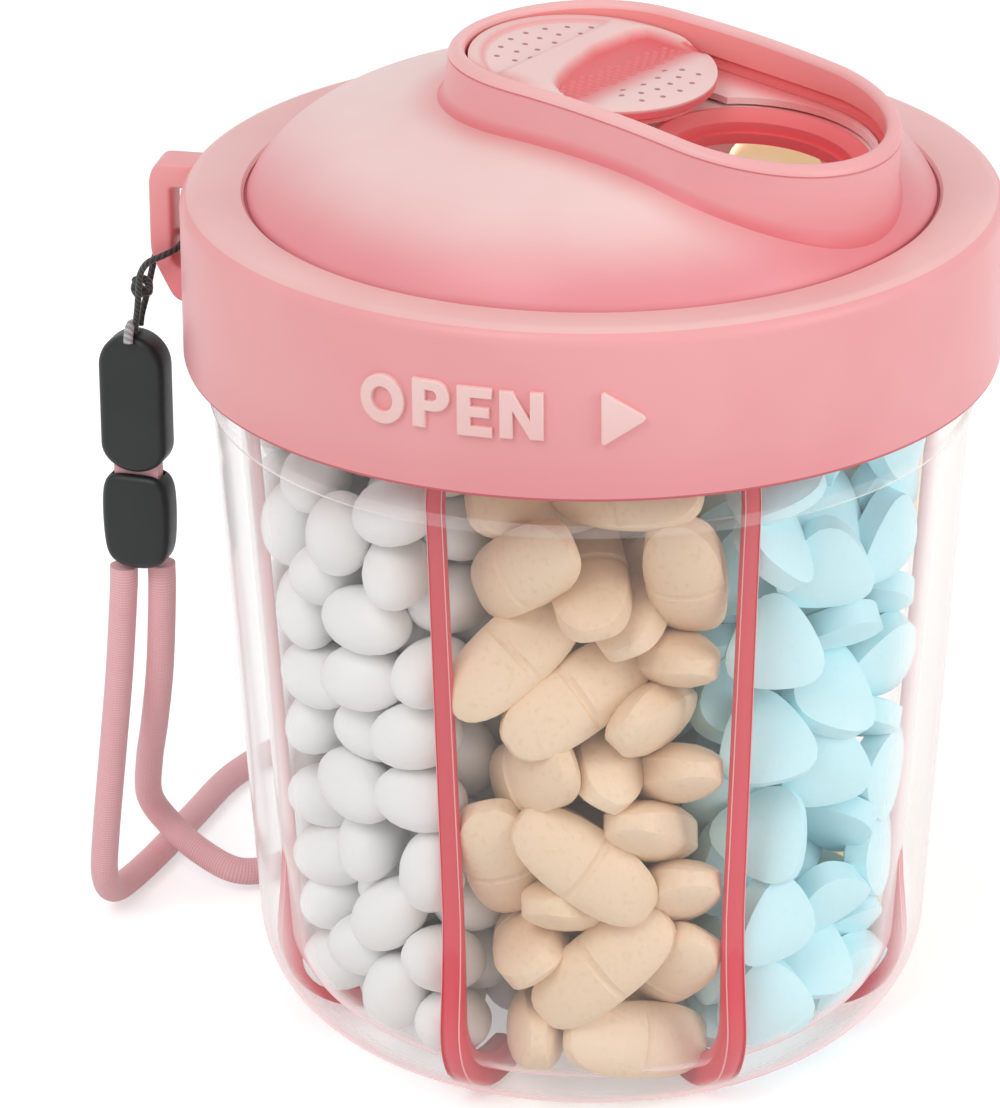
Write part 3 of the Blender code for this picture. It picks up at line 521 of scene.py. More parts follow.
def read_attribute(tree, name):
    node = tree.nodes.new("ShaderNodeAttribute")
    node.attribute_name = name
    return node.outputs["Fac"]


def recoat(name, material):
    """Gives a CAD piece that stays in view its finish."""
    nodes[name].data.materials.clear()
    nodes[name].data.materials.append(material)


# %% [markdown]
# ## Pink mouldings
#
# The collar, dome, track and door are one family of satin pink plastics. The dome is painted paler on
# its crown, a painted highlight, and deeper towards its edge, painted shade; the recess of the track is
# painted a saturated coral for the light that bounces from wall to wall in it. One builder makes them
# all from a colour that drifts a little towards a deeper one. Where a mesh carries an attribute for it,
# painted coral shade also gathers in corners.

# %% Pink plastics
# Painted shade: the coral that gathers in corners where the attribute asks for it.
PAINTED_CORNER_SHADE = paint(224, 104, 112)
DEEP_PINK = paint(214, 92, 104)
PINK_GRAIN = 2600.0
PINK_BUMP = 0.05
PINK_BUMP_DEPTH = 0.00005


def make_satin(name, mixed, drift_scale, roughness, deep, deep_share):
    """A satin moulding. mixed is a function that builds its colour."""
    material, tree, shader = new_material(name, IOR=GLOSS_OF_PLASTIC, Specular_IOR_Level=SHINE_OF_PLASTIC)
    colour = mixed(tree)
    surface = place_group(tree, moulded_plastic, Colour=colour,
                          Drift_Colour=add_mix(tree, deep_share, colour, deep),
                          Drift_Scale=drift_scale, Grain_Scale=PINK_GRAIN, Roughness=roughness)
    link_surface(tree, shader, surface, PINK_BUMP, PINK_BUMP_DEPTH)
    return material


def make_pink(name, low_colour, high_colour, low_height, high_height, roughness=0.36, corners=False):
    """A pink that changes with height. With corners, painted coral shade from an attribute is mixed in."""
    def mixed(tree):
        mask = place_group(tree, between_heights, Start_Height=low_height, End_Height=high_height)["Mask"]
        colour = add_mix(tree, mask, paint(*low_colour), paint(*high_colour))
        return add_mix(tree, read_attribute(tree, "coral_shade"), colour, PAINTED_CORNER_SHADE) if corners else colour

    return make_satin(name, mixed, drift_scale=55.0, roughness=roughness, deep=DEEP_PINK, deep_share=0.12)


collar_pink = make_pink("collar pink", (241, 161, 164), (242, 169, 171), 0.0742, 0.0800)
# Painted shadow: a dark line at the collar's foot.
collar_foot_shadow = make_pink("collar foot shadow", (192, 92, 100), (214, 118, 124), 0.0742, 0.0748)
# Painted highlight: the collar's flat top is paler, palest at its highest.
collar_top_highlight = make_pink("collar top highlight", (237, 168, 170), (243, 194, 192), 0.0895, 0.0919)
# Painted highlight and shade: the dome pales to its crown and deepens to its edge, and takes painted coral
# shade beside the track.
dome_pink = make_pink("dome pink", (236, 156, 162), (247, 216, 212), 0.0925, 0.1000, corners=True)
# Painted shade: the track's wall is deeper lower down and takes painted coral shade at its foot.
track_pink = make_pink("track pink", (238, 150, 154), (242, 174, 176), 0.0925, 0.1010, corners=True)
# Painted highlight: the lip's top is paler than the track's wall.
lip_highlight = make_pink("lip highlight", (242, 172, 173), (248, 194, 192), 0.1000, 0.1060)
# Painted bounce light: the recess, the hole and the shutter are a deep coral, darker lower down.
recess_coral = make_pink("recess coral", (238, 96, 101), (250, 158, 156), 0.0960, 0.1040)
# Painted shade: the grip beads take the coral of the scoop's shade.
grip_shade_coral = make_pink("door grip shade", (231, 118, 122), (233, 126, 130), 0.1000, 0.1060)
# Painted shade: the dots are dark and matt, for the shade in small holes.
dot_shade = make_pink("dot shade", (186, 132, 134), (186, 132, 134), 0.1000, 0.1060, roughness=0.6)
# Painted shade: a dark coral for the shade deep in the seam's gap.
seam_shade = make_pink("seam shade", (176, 92, 98), (176, 92, 98), 0.0880, 0.0920, roughness=0.6)
letter_pink = make_pink("letter pink", (246, 206, 202), (248, 214, 210), 0.0800, 0.0870)
lug_coral = make_pink("lug coral", (238, 138, 142), (245, 170, 171), 0.0760, 0.0915)
strip_coral = make_pink("strip coral", (226, 76, 90), (212, 84, 92), 0.0100, 0.0700, roughness=0.42)
strip_edge = make_pink("strip edge pink", (244, 176, 178), (240, 172, 174), 0.0100, 0.0700)
seal_pink = make_pink("seal silicone", (240, 214, 208), (240, 214, 208), 0.0870, 0.0885, roughness=0.62)
print("Pink finishes:", len(bpy.data.materials))

# %% Door and track floor
TRACK_ACROSS = (0.5736, 0.8192, 0.0)
WALL_GLOW_START = 0.0084
WALL_GLOW_END = 0.0128


def make_painted_coral(name, share_of, pale, coral):
    """A pink whose share of painted coral is built in the material by a function: painted shade on the door,
    painted bounce light on the floor.
    """
    def mixed(tree):
        return add_mix(tree, share_of(tree), pale, coral)

    return make_satin(name, mixed, drift_scale=80.0, roughness=0.4, deep=coral, deep_share=0.06)


def near_track_wall(tree):
    """1 beside the track's long walls, where light bounces red, and 0 along its middle."""
    across = tree.nodes.new("ShaderNodeVectorMath")
    across.operation = "DOT_PRODUCT"
    across.inputs[1].default_value = TRACK_ACROSS
    tree.links.new(own_place(tree), across.inputs[0])
    return spread(tree, add_math(tree, "ABSOLUTE", across.outputs["Value"]), WALL_GLOW_START, WALL_GLOW_END)


# Painted shade: the door's share of coral from the coral_shade attribute.
def door_shade_share(tree):
    return read_attribute(tree, "coral_shade")


# The door cap carries painted coral shade; the track floor carries painted coral bounce light by its walls.
door_painted_shade = make_painted_coral("door cap", door_shade_share, paint(242, 208, 204), paint(228, 108, 112))
floor_painted_bounce = make_painted_coral("track floor", near_track_wall, paint(249, 214, 211), paint(240, 134, 137))
print("Painted coral finishes:", door_painted_shade.name, floor_painted_bounce.name)

# %% [markdown]
# ## Clear plastic
#
# The cup and its divider are clear mouldings. A glass shader bends every sight line through four
# walls and leaves dark streaks along the sides, where the real cup looks milky with reflected light. So
# each wall is a film instead: almost nothing where we look straight through it, a painted reflection
# as a white veil that thickens where we look along it and glows a little, and a fine tinted line at its
# very edge. Near the base that line and the thicker film are painted pink, the light of the coral
# strips.
# Rays that only carry light pass almost freely, so that the tablets are lit as if in the open.

# %% Clear plastics
LIGHT_RAY_SHARE = 0.1
PAINTED_FILM_GLOW = 0.14
FACING_BLEND = 0.5
VEIL_RANGE = (0.54, 0.88)
EDGE_RANGE = (0.66, 0.96)


def make_clear(name, low_colours, high_colours, low_height, high_height, thin, thick, pool=0.0,
               roughness=0.16):
    """A clear film. Its colours are a painted reflection, a veil and an edge line, and the film glows a
    little; thin, thick and pool are opacities.
    """
    material, tree, shader = new_material(name, IOR=GLOSS_OF_PLASTIC, Emission_Strength=PAINTED_FILM_GLOW)
    upper = place_group(tree, between_heights, Start_Height=low_height, End_Height=high_height)["Mask"]
    weight = tree.nodes.new("ShaderNodeLayerWeight")
    weight.inputs["Blend"].default_value = FACING_BLEND
    veil = spread(tree, weight.outputs["Facing"], *VEIL_RANGE)
    edge = spread(tree, weight.outputs["Facing"], *EDGE_RANGE)
    veil_colour = add_mix(tree, upper, paint(*low_colours[0]), paint(*high_colours[0]))
    edge_colour = add_mix(tree, upper, paint(*low_colours[1]), paint(*high_colours[1]))
    colour = add_mix(tree, edge, veil_colour, edge_colour)
    surface = place_group(tree, moulded_plastic, Colour=colour, Drift_Colour=colour, Drift_Scale=30.0,
                          Grain_Scale=200.0, Roughness=roughness, Roughness_Spread=0.03)
    link_surface(tree, shader, surface)
    # Painted glow: the film's colour also shines as emission.
    tree.links.new(surface["Colour"], shader.inputs["Emission Color"])
    film = plus(tree, times(tree, veil, thick - thin), thin)
    pooled = times(tree, add_math(tree, "SUBTRACT", 1.0, upper), pool)
    opacity = plus(tree, film, pooled, clamp=True)
    rays = tree.nodes.new("ShaderNodeLightPath").outputs
    carries = add_math(tree, "MAXIMUM", rays["Is Shadow Ray"], rays["Is Diffuse Ray"])
    kept = add_math(tree, "SUBTRACT", 1.0, times(tree, carries, 1 - LIGHT_RAY_SHARE))
    tree.links.new(times(tree, opacity, kept), shader.inputs["Alpha"])
    return material


# Painted reflection: white veils at the sides, and pink edges and a pink pool low down for the light of the
# coral strips.
cup_clear = make_clear("cup clear", ((246, 228, 226), (240, 164, 170)), ((252, 250, 249), (224, 214, 214)),
                       0.0010, 0.0170, 0.03, 0.86, pool=0.12)
# Painted highlights: the bead film is denser, so the bead and the neck's step show as pale lines.
bead_clear = make_clear("bead clear", ((250, 240, 238), (226, 190, 192)), ((250, 244, 242), (214, 190, 190)),
                        0.0600, 0.0690, 0.16, 0.95, roughness=0.2)
divider_clear = make_clear("divider clear", ((248, 240, 239), (236, 214, 214)),
                           ((250, 246, 245), (228, 214, 214)), 0.0000, 0.0200, 0.015, 0.16)
print("Clear finishes:", cup_clear.name, bead_clear.name, divider_clear.name)

# %% [markdown]
# ## Black plastic, cord and strap
#
# The buckle is satin black with a fine moulded grain. The hanging cord is braided and catches a
# grey light on its ridges; the strap is a soft pink weave whose threads run straight across it.

# %% Buckle, cord and strap finishes
WEAVE_DEPTH = 0.00012
FUZZ_SCALE = 900.0
FUZZ_LIFT = 0.45
FUZZ_ROUGHNESS = 0.15


def make_woven(name, deep, pale, threads, strands, slant, roughness, bump):
    material, tree, shader = new_material(name, Sheen_Weight=0.25, Sheen_Roughness=0.5)
    weave = place_group(tree, woven_threads, Threads_per_mm=threads, Strands_Round=strands, Slant=slant)
    fuzz = add_noise(tree, FUZZ_SCALE, detail=3.0)
    mask = times(tree, weave["Mask"], plus(tree, fuzz, FUZZ_LIFT), clamp=True)
    surface = {"Colour": add_mix(tree, mask, paint(*deep), paint(*pale)),
               "Roughness": plus(tree, times(tree, fuzz, FUZZ_ROUGHNESS), roughness),
               "Height": weave["Height"]}
    link_surface(tree, shader, surface, bump, WEAVE_DEPTH)
    return material


buckle_black, tree, shader = new_material("buckle black", IOR=1.45)
link_surface(tree, shader, place_group(
    tree, moulded_plastic, Colour=paint(23, 25, 26), Drift_Colour=paint(29, 31, 32), Drift_Scale=160.0,
    Grain_Scale=5200.0, Roughness=0.42, Roughness_Spread=0.2), 0.25, 0.00006)
cord_black = make_woven("braided cord", (14, 13, 14), (62, 60, 62), 1.6, 3.0, 1.0, 0.55, 0.8)
strap_pink = make_woven("woven strap", (238, 172, 177), (247, 198, 201), 3.4, 26.0, 0.0, 0.7, 0.12)
eyelet_grey = make_woven("eyelet grey", (150, 148, 149), (196, 194, 195), 2.0, 3.0, 0.5, 0.5, 0.3)
hanging_cord.data.materials.append(cord_black)
strap_loop.data.materials.append(strap_pink)
print("Dark and woven finishes:", buckle_black.name, cord_black.name, strap_pink.name, eyelet_grey.name)

# %% [markdown]
# ## The cup
#
# The cup is drafted like every moulded cup: wider at the top, with a big soft radius at the base.
# A fine bead runs round it just under the lid, and above the bead it steps in to a neck. It is a
# lathe with true wall thickness, finer than the CAD one so that its outline bends smoothly.

# %% Cup profile
BODY_TOP_HEIGHT = 0.0742
BODY_TOP_RADIUS = 0.0395
DRAFT = math.radians(3.66)
CUP_WALL = 0.0026
BASE_CORNER = 0.0114
BEAD_HEIGHT = 0.0699
BEAD_RISE = 0.00035
BEAD_HALF = 0.0007
BEAD_REACH = 0.0002
NECK_RADIUS = 0.0383
NECK_WALL = 0.0021
STEP_RISE = 0.0008
RIM_HEIGHT = 0.0868
RIM_CHAMFER = 0.0004


def wall_radius(height):
    return BODY_TOP_RADIUS - (BODY_TOP_HEIGHT - height) * math.tan(DRAFT)


def inner_wall_radius(height):
    return wall_radius(height) - CUP_WALL / math.cos(DRAFT)


BASE_FLAT = wall_radius(BASE_CORNER * (1 - math.sin(DRAFT))) - BASE_CORNER * math.cos(DRAFT)
corner_centre = (BASE_FLAT, BASE_CORNER)
outer_profile = [(0, 0), (BASE_FLAT * 0.6, 0)] + arc(corner_centre, BASE_CORNER, -QUARTER, -DRAFT, 16)
for step in range(-4, 5):
    height = BEAD_HEIGHT + BEAD_HALF * step / 4
    outer_profile.append((wall_radius(height) + BEAD_RISE * math.cos(QUARTER * step / 4), height))
outer_profile += [
    (BODY_TOP_RADIUS, BODY_TOP_HEIGHT),
    (BODY_TOP_RADIUS, BODY_TOP_HEIGHT + STEP_RISE),
    (NECK_RADIUS, BODY_TOP_HEIGHT + STEP_RISE + STEP_RISE),
    (NECK_RADIUS, RIM_HEIGHT - RIM_CHAMFER),
    (NECK_RADIUS - RIM_CHAMFER, RIM_HEIGHT),
]
neck_inside = NECK_RADIUS - NECK_WALL
inner_profile = [
    (neck_inside + RIM_CHAMFER, RIM_HEIGHT),
    (neck_inside, RIM_HEIGHT - RIM_CHAMFER),
    (neck_inside, BODY_TOP_HEIGHT),
    (inner_wall_radius(BEAD_HEIGHT), BEAD_HEIGHT),
]
inner_profile += arc(corner_centre, BASE_CORNER - CUP_WALL, -DRAFT, -QUARTER, 14) + [(0, CUP_WALL)]
cup = add_piece("cup_body", turned("cup_body", outer_profile + inner_profile), cup_clear)
cup.data.materials.append(bead_clear)
# The bead and the neck's step take the bead film, their painted highlights.
for face in cup.data.polygons:
    away = math.hypot(face.center.x, face.center.y)
    on_bead = abs(face.center.z - BEAD_HEIGHT) < BEAD_HALF and away > wall_radius(BEAD_HEIGHT) - BEAD_REACH
    if on_bead or BODY_TOP_HEIGHT < face.center.z < BODY_TOP_HEIGHT + STEP_RISE + STEP_RISE:
        face.material_index = 1
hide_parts("cup")
dress(cup, "cup")
print("Cup faces:", len(cup.data.polygons))

# %% Bayonet blocks on the neck
BLOCKS = 3
BAYONET_SPREAD = math.radians(26)
BAYONET_FOOT = 0.0795
BAYONET_HEIGHT = 0.002
BAYONET_STAND = 0.0007
BAYONET_SINK = 0.0001


def bayonet_ring(name, inner, outer, low, high):
    """Equal arc-shaped blocks: an interrupted ring that hooks the lid on."""
    bm = bmesh.new()
    corners = [(inner, low), (outer, low), (outer, high), (inner, high)]
    for index in range(BLOCKS):
        turns = [math.tau * index / BLOCKS + BAYONET_SPREAD * (step / 8 - 0.5) for step in range(9)]
        rings = [[polar(radius, turn, height) for radius, height in corners] for turn in turns]
        bridge(bm, rings, capped=True)
    return finished(name, bm)


neck_blocks = bayonet_ring("neck_blocks", NECK_RADIUS - BAYONET_SINK, NECK_RADIUS + BAYONET_STAND,
                           BAYONET_FOOT, BAYONET_FOOT + BAYONET_HEIGHT)
dress(add_piece("neck_blocks", neck_blocks, cup_clear), "cup")
print("Block faces:", len(neck_blocks.polygons))

# %% [markdown]
# ## Divider and its coral strips
#
# The clear divider keeps its CAD solid: its flat vanes need nothing but the clear finish. Where
# each vane meets the wall the real cup has a soft coral strip with a pale border, and these strips
# are the boldest lines in the picture. Each is a ribbon that follows the wall down and round the
# base corner, widening as it goes, with a crowned face and a pale bead along both sides.

# %% Divider and strips
VANES = 7
FIRST_VANE = math.radians(-115.4)
SEAT = 0.0003
STRIP_DEPTH = 0.0012
STRIP_TOP_WIDTH = 0.0019
STRIP_FOOT_WIDTH = 0.0030
STRIP_TOP_DROP = 0.0013
STRIP_FOOT_RUN = 0.0026
STRIP_SKIN = 0.0005
STRIP_SINK_START = 0.0240
STRIP_SINK_RUN = 0.0180
STRIP_SINK_CURVE = 1.5
STRIP_WIDENING = 1.3
STRIP_WALL_END = 0.016
STRIP_SHAPE = [
    (-1.0, 0.12), (-0.94, 0.03), (-0.84, 0.0), (-0.80, 0.10), (-0.3, 0.0),
    (0.3, 0.0), (0.80, 0.10), (0.84, 0.0), (0.94, 0.03), (1.0, 0.12),
    (0.94, 0.7), (0.6, 0.96), (0.0, 1.0), (-0.6, 0.96), (-0.94, 0.7),
]
BORDER_SHARE = 0.84
recoat("divider_insert", divider_clear)
recoat("lid_seal", seal_pink)


def strip_path(offset):
    """The inside of the cup from rim to floor, moved in by offset."""
    path = [(neck_inside - offset, RIM_HEIGHT - STRIP_TOP_DROP), (neck_inside - offset, BODY_TOP_HEIGHT)]
    path += [(inner_wall_radius(z) - offset, z) for z in np.linspace(BEAD_HEIGHT, STRIP_WALL_END, 16)]
    path += arc(corner_centre, BASE_CORNER - CUP_WALL - offset, -DRAFT, -QUARTER, 14)
    return path + [(BASE_FLAT - STRIP_FOOT_RUN, CUP_WALL + offset)]


def strip_mesh():
    """A ribbon with a pale bead along both sides of its coral face. Its foot fills the thick base."""
    paths = zip(strip_path(SEAT), strip_path(STRIP_SKIN - CUP_WALL), strip_path(SEAT + STRIP_DEPTH))
    last = len(strip_path(SEAT)) - 1
    rings = []
    for index, (wall, outside, inside) in enumerate(paths):
        widened = (STRIP_FOOT_WIDTH - STRIP_TOP_WIDTH) * (index / last) ** STRIP_WIDENING
        half = (STRIP_TOP_WIDTH + widened) / 2
        sink = min(max((STRIP_SINK_START - wall[1]) / STRIP_SINK_RUN, 0.0), 1.0) ** STRIP_SINK_CURVE
        far = [at_wall + (beyond - at_wall) * sink for at_wall, beyond in zip(wall, outside)]
        rings.append([(far[0] + (inside[0] - far[0]) * depth, half * side,
                       far[1] + (inside[1] - far[1]) * depth) for side, depth in STRIP_SHAPE])
    return skin("wall_strip", rings, capped=True)


strip = strip_mesh()
strip.materials.append(strip_coral)
strip.materials.append(strip_edge)
for face in strip.polygons:
    width = max(abs(strip.vertices[corner].co.y) for corner in face.vertices)
    if abs(face.center.y) > width * BORDER_SHARE and abs(face.normal.y) < 0.8:
        face.material_index = 1
for index in range(VANES):
    mesh = strip.copy()
    mesh.transform(Matrix.Rotation(FIRST_VANE + math.tau * index / VANES, 4, "Z"))
    piece = add_piece(f"wall_strip_{index + 1}", mesh)
    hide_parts(f"divider_edge_{index + 1}")
    dress(piece, "cup")
print("Strips:", VANES)

# %% [markdown]
# ## The collar
#
# The collar is a plain ring with a soft shoulder: the hand's grip for opening the cup. It is
# turned on the lathe with its thin top that holds the dome down. Its flat top is painted paler, a
# painted highlight, and the edge of its foot darker, a painted shadow line. A dark coral ring deep in
# the seam between the two is painted shade in the gap, and three blocks inside hook under the
# neck's blocks.

# %% Collar
COLLAR_RADIUS = 0.0420
COLLAR_WALL = 0.0020
COLLAR_TOP = 0.0919
COLLAR_FALL = 0.0004
COLLAR_FOOT = BODY_TOP_HEIGHT
COLLAR_SHOULDER = 0.0018
SEAM_RADIUS = 0.03545
FLANGE_TOP = 0.0898
GAP = 0.0003
SEAM_DEPTH = 0.0009
SEAM_REACH = 0.0004
SEAM_THICKNESS = 0.0004
shoulder_centre = (COLLAR_RADIUS - COLLAR_SHOULDER, COLLAR_TOP - COLLAR_SHOULDER)
collar_profile = [(SEAM_RADIUS, COLLAR_TOP - COLLAR_FALL - 0.0003),
                  (SEAM_RADIUS + 0.0003, COLLAR_TOP - COLLAR_FALL)]
collar_profile += arc(shoulder_centre, COLLAR_SHOULDER, math.radians(88), 0, 12)
collar_profile += [
    (COLLAR_RADIUS, COLLAR_FOOT + 0.0004),
    (COLLAR_RADIUS - 0.0001, COLLAR_FOOT + 0.0001),
    (COLLAR_RADIUS - 0.0004, COLLAR_FOOT),
    (COLLAR_RADIUS - COLLAR_WALL, COLLAR_FOOT),
    (COLLAR_RADIUS - COLLAR_WALL, FLANGE_TOP + GAP),
    (SEAM_RADIUS, FLANGE_TOP + GAP),
]
collar = add_piece("collar_ring", turned("collar_ring", collar_profile, joined_ends=True))
for material in (collar_pink, collar_top_highlight, collar_foot_shadow):
    collar.data.materials.append(material)
# The flat top takes the painted highlight and the edge of the foot the painted shadow line.
for face in collar.data.polygons:
    middle = face.center
    if middle.z > COLLAR_TOP - 0.0007 and math.hypot(middle.x, middle.y) < COLLAR_RADIUS - 0.0006:
        face.material_index = 1
    elif middle.z < COLLAR_FOOT + 0.0003:
        face.material_index = 2
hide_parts("collar")
dress(collar, "collar")
# A dark ring in the seam stands in for the shade in the gap.
seam_top = COLLAR_TOP - SEAM_DEPTH
seam_profile = [(SEAM_RADIUS - SEAM_REACH, seam_top - SEAM_THICKNESS),
                (SEAM_RADIUS + 0.0002, seam_top - SEAM_THICKNESS),
                (SEAM_RADIUS + 0.0002, seam_top), (SEAM_RADIUS - SEAM_REACH, seam_top)]
seam = add_piece("seam_shade_ring", turned("seam_shade_ring", seam_profile, joined_ends=True), seam_shade)
dress(seam, "collar")
collar_blocks = bayonet_ring("collar_blocks", NECK_RADIUS + BAYONET_STAND + GAP,
                             COLLAR_RADIUS - COLLAR_WALL / 2,
                             BAYONET_FOOT - GAP - BAYONET_HEIGHT, BAYONET_FOOT - GAP)
dress(add_piece("collar_blocks", collar_blocks, collar_pink), "collar")
print("Collar faces:", len(collar.data.polygons))

# %% Changing a piece for good
BEVEL_LIMIT = math.radians(30)


def apply_modifiers(piece):
    bpy.context.view_layer.update()
    mesh = bpy.data.meshes.new_from_object(piece.evaluated_get(bpy.context.evaluated_depsgraph_get()))
    materials = list(piece.data.materials)
    piece.modifiers.clear()
    piece.data = mesh
    mesh.materials.clear()
    for material in materials:
        mesh.materials.append(material)
    crisp(mesh)
    return piece


def soften(piece, width):
    """Rounds the edges of a piece."""
    bevel = piece.modifiers.new("soft edges", "BEVEL")
    bevel.width = width
    bevel.segments = 3
    bevel.limit_method = "ANGLE"
    bevel.angle_limit = BEVEL_LIMIT
    bevel.harden_normals = False
    return apply_modifiers(piece)


def cut_away(piece, tool_mesh, frame_of_tool):
    """Takes a shape away from a piece."""
    tool_mesh.transform(frame_of_tool)
    tool = add_piece("cutter", tool_mesh)
    cut = piece.modifiers.new("cut", "BOOLEAN")
    cut.operation = "DIFFERENCE"
    cut.solver = "EXACT"
    cut.object = tool
    apply_modifiers(piece)
    bpy.data.objects.remove(tool, do_unlink=True)
    return piece


# %% Strap lug
LUG_REACH = 0.0042
LUG_BAR = 0.0023
LUG_CHIN = 0.0016
LUG_WIDTH = 0.0044
LUG_FOOT = 0.0762
LUG_CHIN_RISE = 0.0052
LUG_TOP = 0.0915
SLOT_FOOT = 0.0801
SLOT_TOP = 0.0888
LUG_ROOT = 0.0012
LUG_ROUND = 0.0013
LUG_EDGE = 0.0004


def turned_corners(line, corners, reach):
    """The line with a short curve of five points in place of each of the corners."""
    result = []
    for index, spot in enumerate(line):
        if index not in corners:
            result.append(spot)
            continue
        here = Vector(spot)
        before = Vector(line[index - 1]) - here
        after = Vector(line[(index + 1) % len(line)]) - here
        step = min(reach, before.length * 0.48, after.length * 0.48)
        start = here + before.normalized() * step
        end = here + after.normalized() * step
        for share in (0, 0.25, 0.5, 0.75, 1):
            result.append(tuple(start.lerp(here, share).lerp(here.lerp(end, share), share)))
    return result


def lug_mesh():
    """A loop of plastic: an outline and a slot of as many points, joined on both sides."""
    outer = COLLAR_RADIUS + LUG_REACH
    root = COLLAR_RADIUS - LUG_ROOT
    inner = COLLAR_RADIUS - 0.0002
    bar = outer - LUG_BAR
    outline = [(root, LUG_TOP), (outer - LUG_CHIN / 2, LUG_TOP), (outer, LUG_TOP - LUG_CHIN),
               (outer, LUG_FOOT + LUG_CHIN_RISE), (COLLAR_RADIUS + LUG_CHIN, LUG_FOOT), (root, LUG_FOOT)]
    slot = [(inner, SLOT_TOP), (bar - 0.0002, SLOT_TOP), (bar, SLOT_TOP - 0.0002),
            (bar, SLOT_FOOT + LUG_CHIN / 2), (bar - LUG_CHIN / 2, SLOT_FOOT), (inner, SLOT_FOOT)]
    outline = turned_corners(outline, (1, 2, 3, 4), LUG_ROUND)
    slot = turned_corners(slot, (1, 2, 3, 4), LUG_ROUND / 8)
    half = LUG_WIDTH / 2
    sides = ((outline, -half), (outline, half), (slot, half), (slot, -half))
    rings = [[about_lug(r, side, z) for r, z in line] for line, side in sides]
    return skin("strap_lug", rings, joined_ends=True)


lug = soften(add_piece("strap_lug", lug_mesh(), lug_coral), LUG_EDGE)
dress(lug, "collar")
print("Lug faces:", len(lug.data.polygons))

# %% [markdown]
# ## The dome
#
# The dome is a shallow lathe with a flange that the collar traps. Its crown is nearly flat and
# rolls off steeply at the edge. The track's pocket is cut into it with a Boolean, which is the
# quickest way to take a stadium-shaped bite out of a curved shell, and the track itself is a
# separate skin that stands in the pocket.

# %% Dome
DOME_EDGE_RADIUS = 0.0351
FLANGE_FOOT = 0.0884
DOME_CURVE = [(0, 0.1019), (0.017, 0.1019), (0.031, 0.1003), (0.0351, 0.0914)]
DOME_HOLLOW = [(0, 0.0993), (0.017, 0.0993), (0.0288, 0.0977), (0.0329, 0.0888)]
TRACK_TURN = math.radians(-35)
TRACK_TILT = math.radians(5.71)
TRACK_SEAT = 0.1033
track_frame = (Matrix.Translation((0, 0, TRACK_SEAT)) @ Matrix.Rotation(TRACK_TURN, 4, "Z")
               @ Matrix.Rotation(TRACK_TILT, 4, "Y"))
track_frame_back = track_frame.inverted()
dome_line = bezier(DOME_CURVE, 48)
dome_profile = dome_line + [(DOME_EDGE_RADIUS, FLANGE_TOP), (NECK_RADIUS, FLANGE_TOP),
                            (NECK_RADIUS, FLANGE_FOOT), (DOME_HOLLOW[-1][0], FLANGE_FOOT)]
dome_profile += list(reversed(bezier(DOME_HOLLOW, 24)))
dome = add_piece("dome_shell", turned("dome_shell", dome_profile), dome_pink)
dome_radii, dome_heights = zip(*dome_line)


def above_dome(place):
    """How far a place is above the dome."""
    radius = min(math.hypot(place.x, place.y), DOME_EDGE_RADIUS)
    return place.z - float(np.interp(radius, dome_radii, dome_heights))


print("Dome profile points:", len(dome_profile))

# %% Track outline
TRACK_INNER = 0.0130
TRACK_WALL = 0.0017
TRACK_LIP = TRACK_INNER + TRACK_WALL
TRACK_TRAVEL = 0.0198
TRACK_FLOOR = -0.0020
TRACK_STEPS = 240
LIP_RISE = 0.0036
LIP_BOW = 0.167
HOLE_PLACE = 0.0208
HOLE_RADIUS = 0.0096
DOME_EDGE_ROOM = 0.00002
WALL_SEARCH = (0.0, 0.06, 40)
FOOT_SEARCH = (-0.0135, 0.0, 30)


def bisected(low, high, steps, still_below):
    """The number between low and high up to which still_below is true."""
    for _ in range(steps):
        middle = (low + high) / 2
        if still_below(middle):
            low = middle
        else:
            high = middle
    return low


def on_axis(x):
    """The nearest spot to x on the track's middle line."""
    return min(max(x, 0.0), TRACK_TRAVEL)


def off_axis(x, y):
    """How far a spot lies from the track's middle line."""
    return math.hypot(x - on_axis(x), y)


def stadium_spot(turn):
    """Where a ray from the hole's centre meets the wall: its spot on the axis, and the way out."""
    ray = Vector((math.cos(turn), math.sin(turn)))
    far = bisected(*WALL_SEARCH, lambda run: off_axis(HOLE_PLACE + ray.x * run, ray.y * run) < TRACK_INNER)
    x = HOLE_PLACE + ray.x * far
    return Vector((on_axis(x), 0)), Vector((x - on_axis(x), ray.y * far)).normalized()


track_turns = [math.tau * step / TRACK_STEPS for step in range(TRACK_STEPS)]
track_spots = [stadium_spot(turn) for turn in track_turns]


def track_ring(radius, height):
    """One ring of the track. The height is a number or a function of the place."""
    spots = [axis + out * radius for axis, out in track_spots]
    return [(spot.x, spot.y, height(spot.x) if callable(height) else height) for spot in spots]


def hole_ring(radius, height):
    return [(HOLE_PLACE + radius * math.cos(turn), radius * math.sin(turn), height) for turn in track_turns]


def lip_height(x):
    off = x - TRACK_TRAVEL / 2
    return LIP_RISE - off * off / (2 * LIP_BOW)


def foot_ring(flare, lift):
    """A ring where the track's outer wall meets the dome, pushed out by flare and up by lift."""
    limit = DOME_EDGE_RADIUS - DOME_EDGE_ROOM
    ring = []
    for axis, out in track_spots:
        x, y = axis + out * (TRACK_LIP + flare)
        low = bisected(*FOOT_SEARCH, lambda z: above_dome(track_frame @ Vector((x, y, z))) < 0)
        place = track_frame @ Vector((x, y, low + lift))
        away = math.hypot(place.x, place.y)
        if away > limit:
            place.x *= limit / away
            place.y *= limit / away
        ring.append(track_frame_back @ place)
    return ring


print("Points round the track:", len(track_spots))

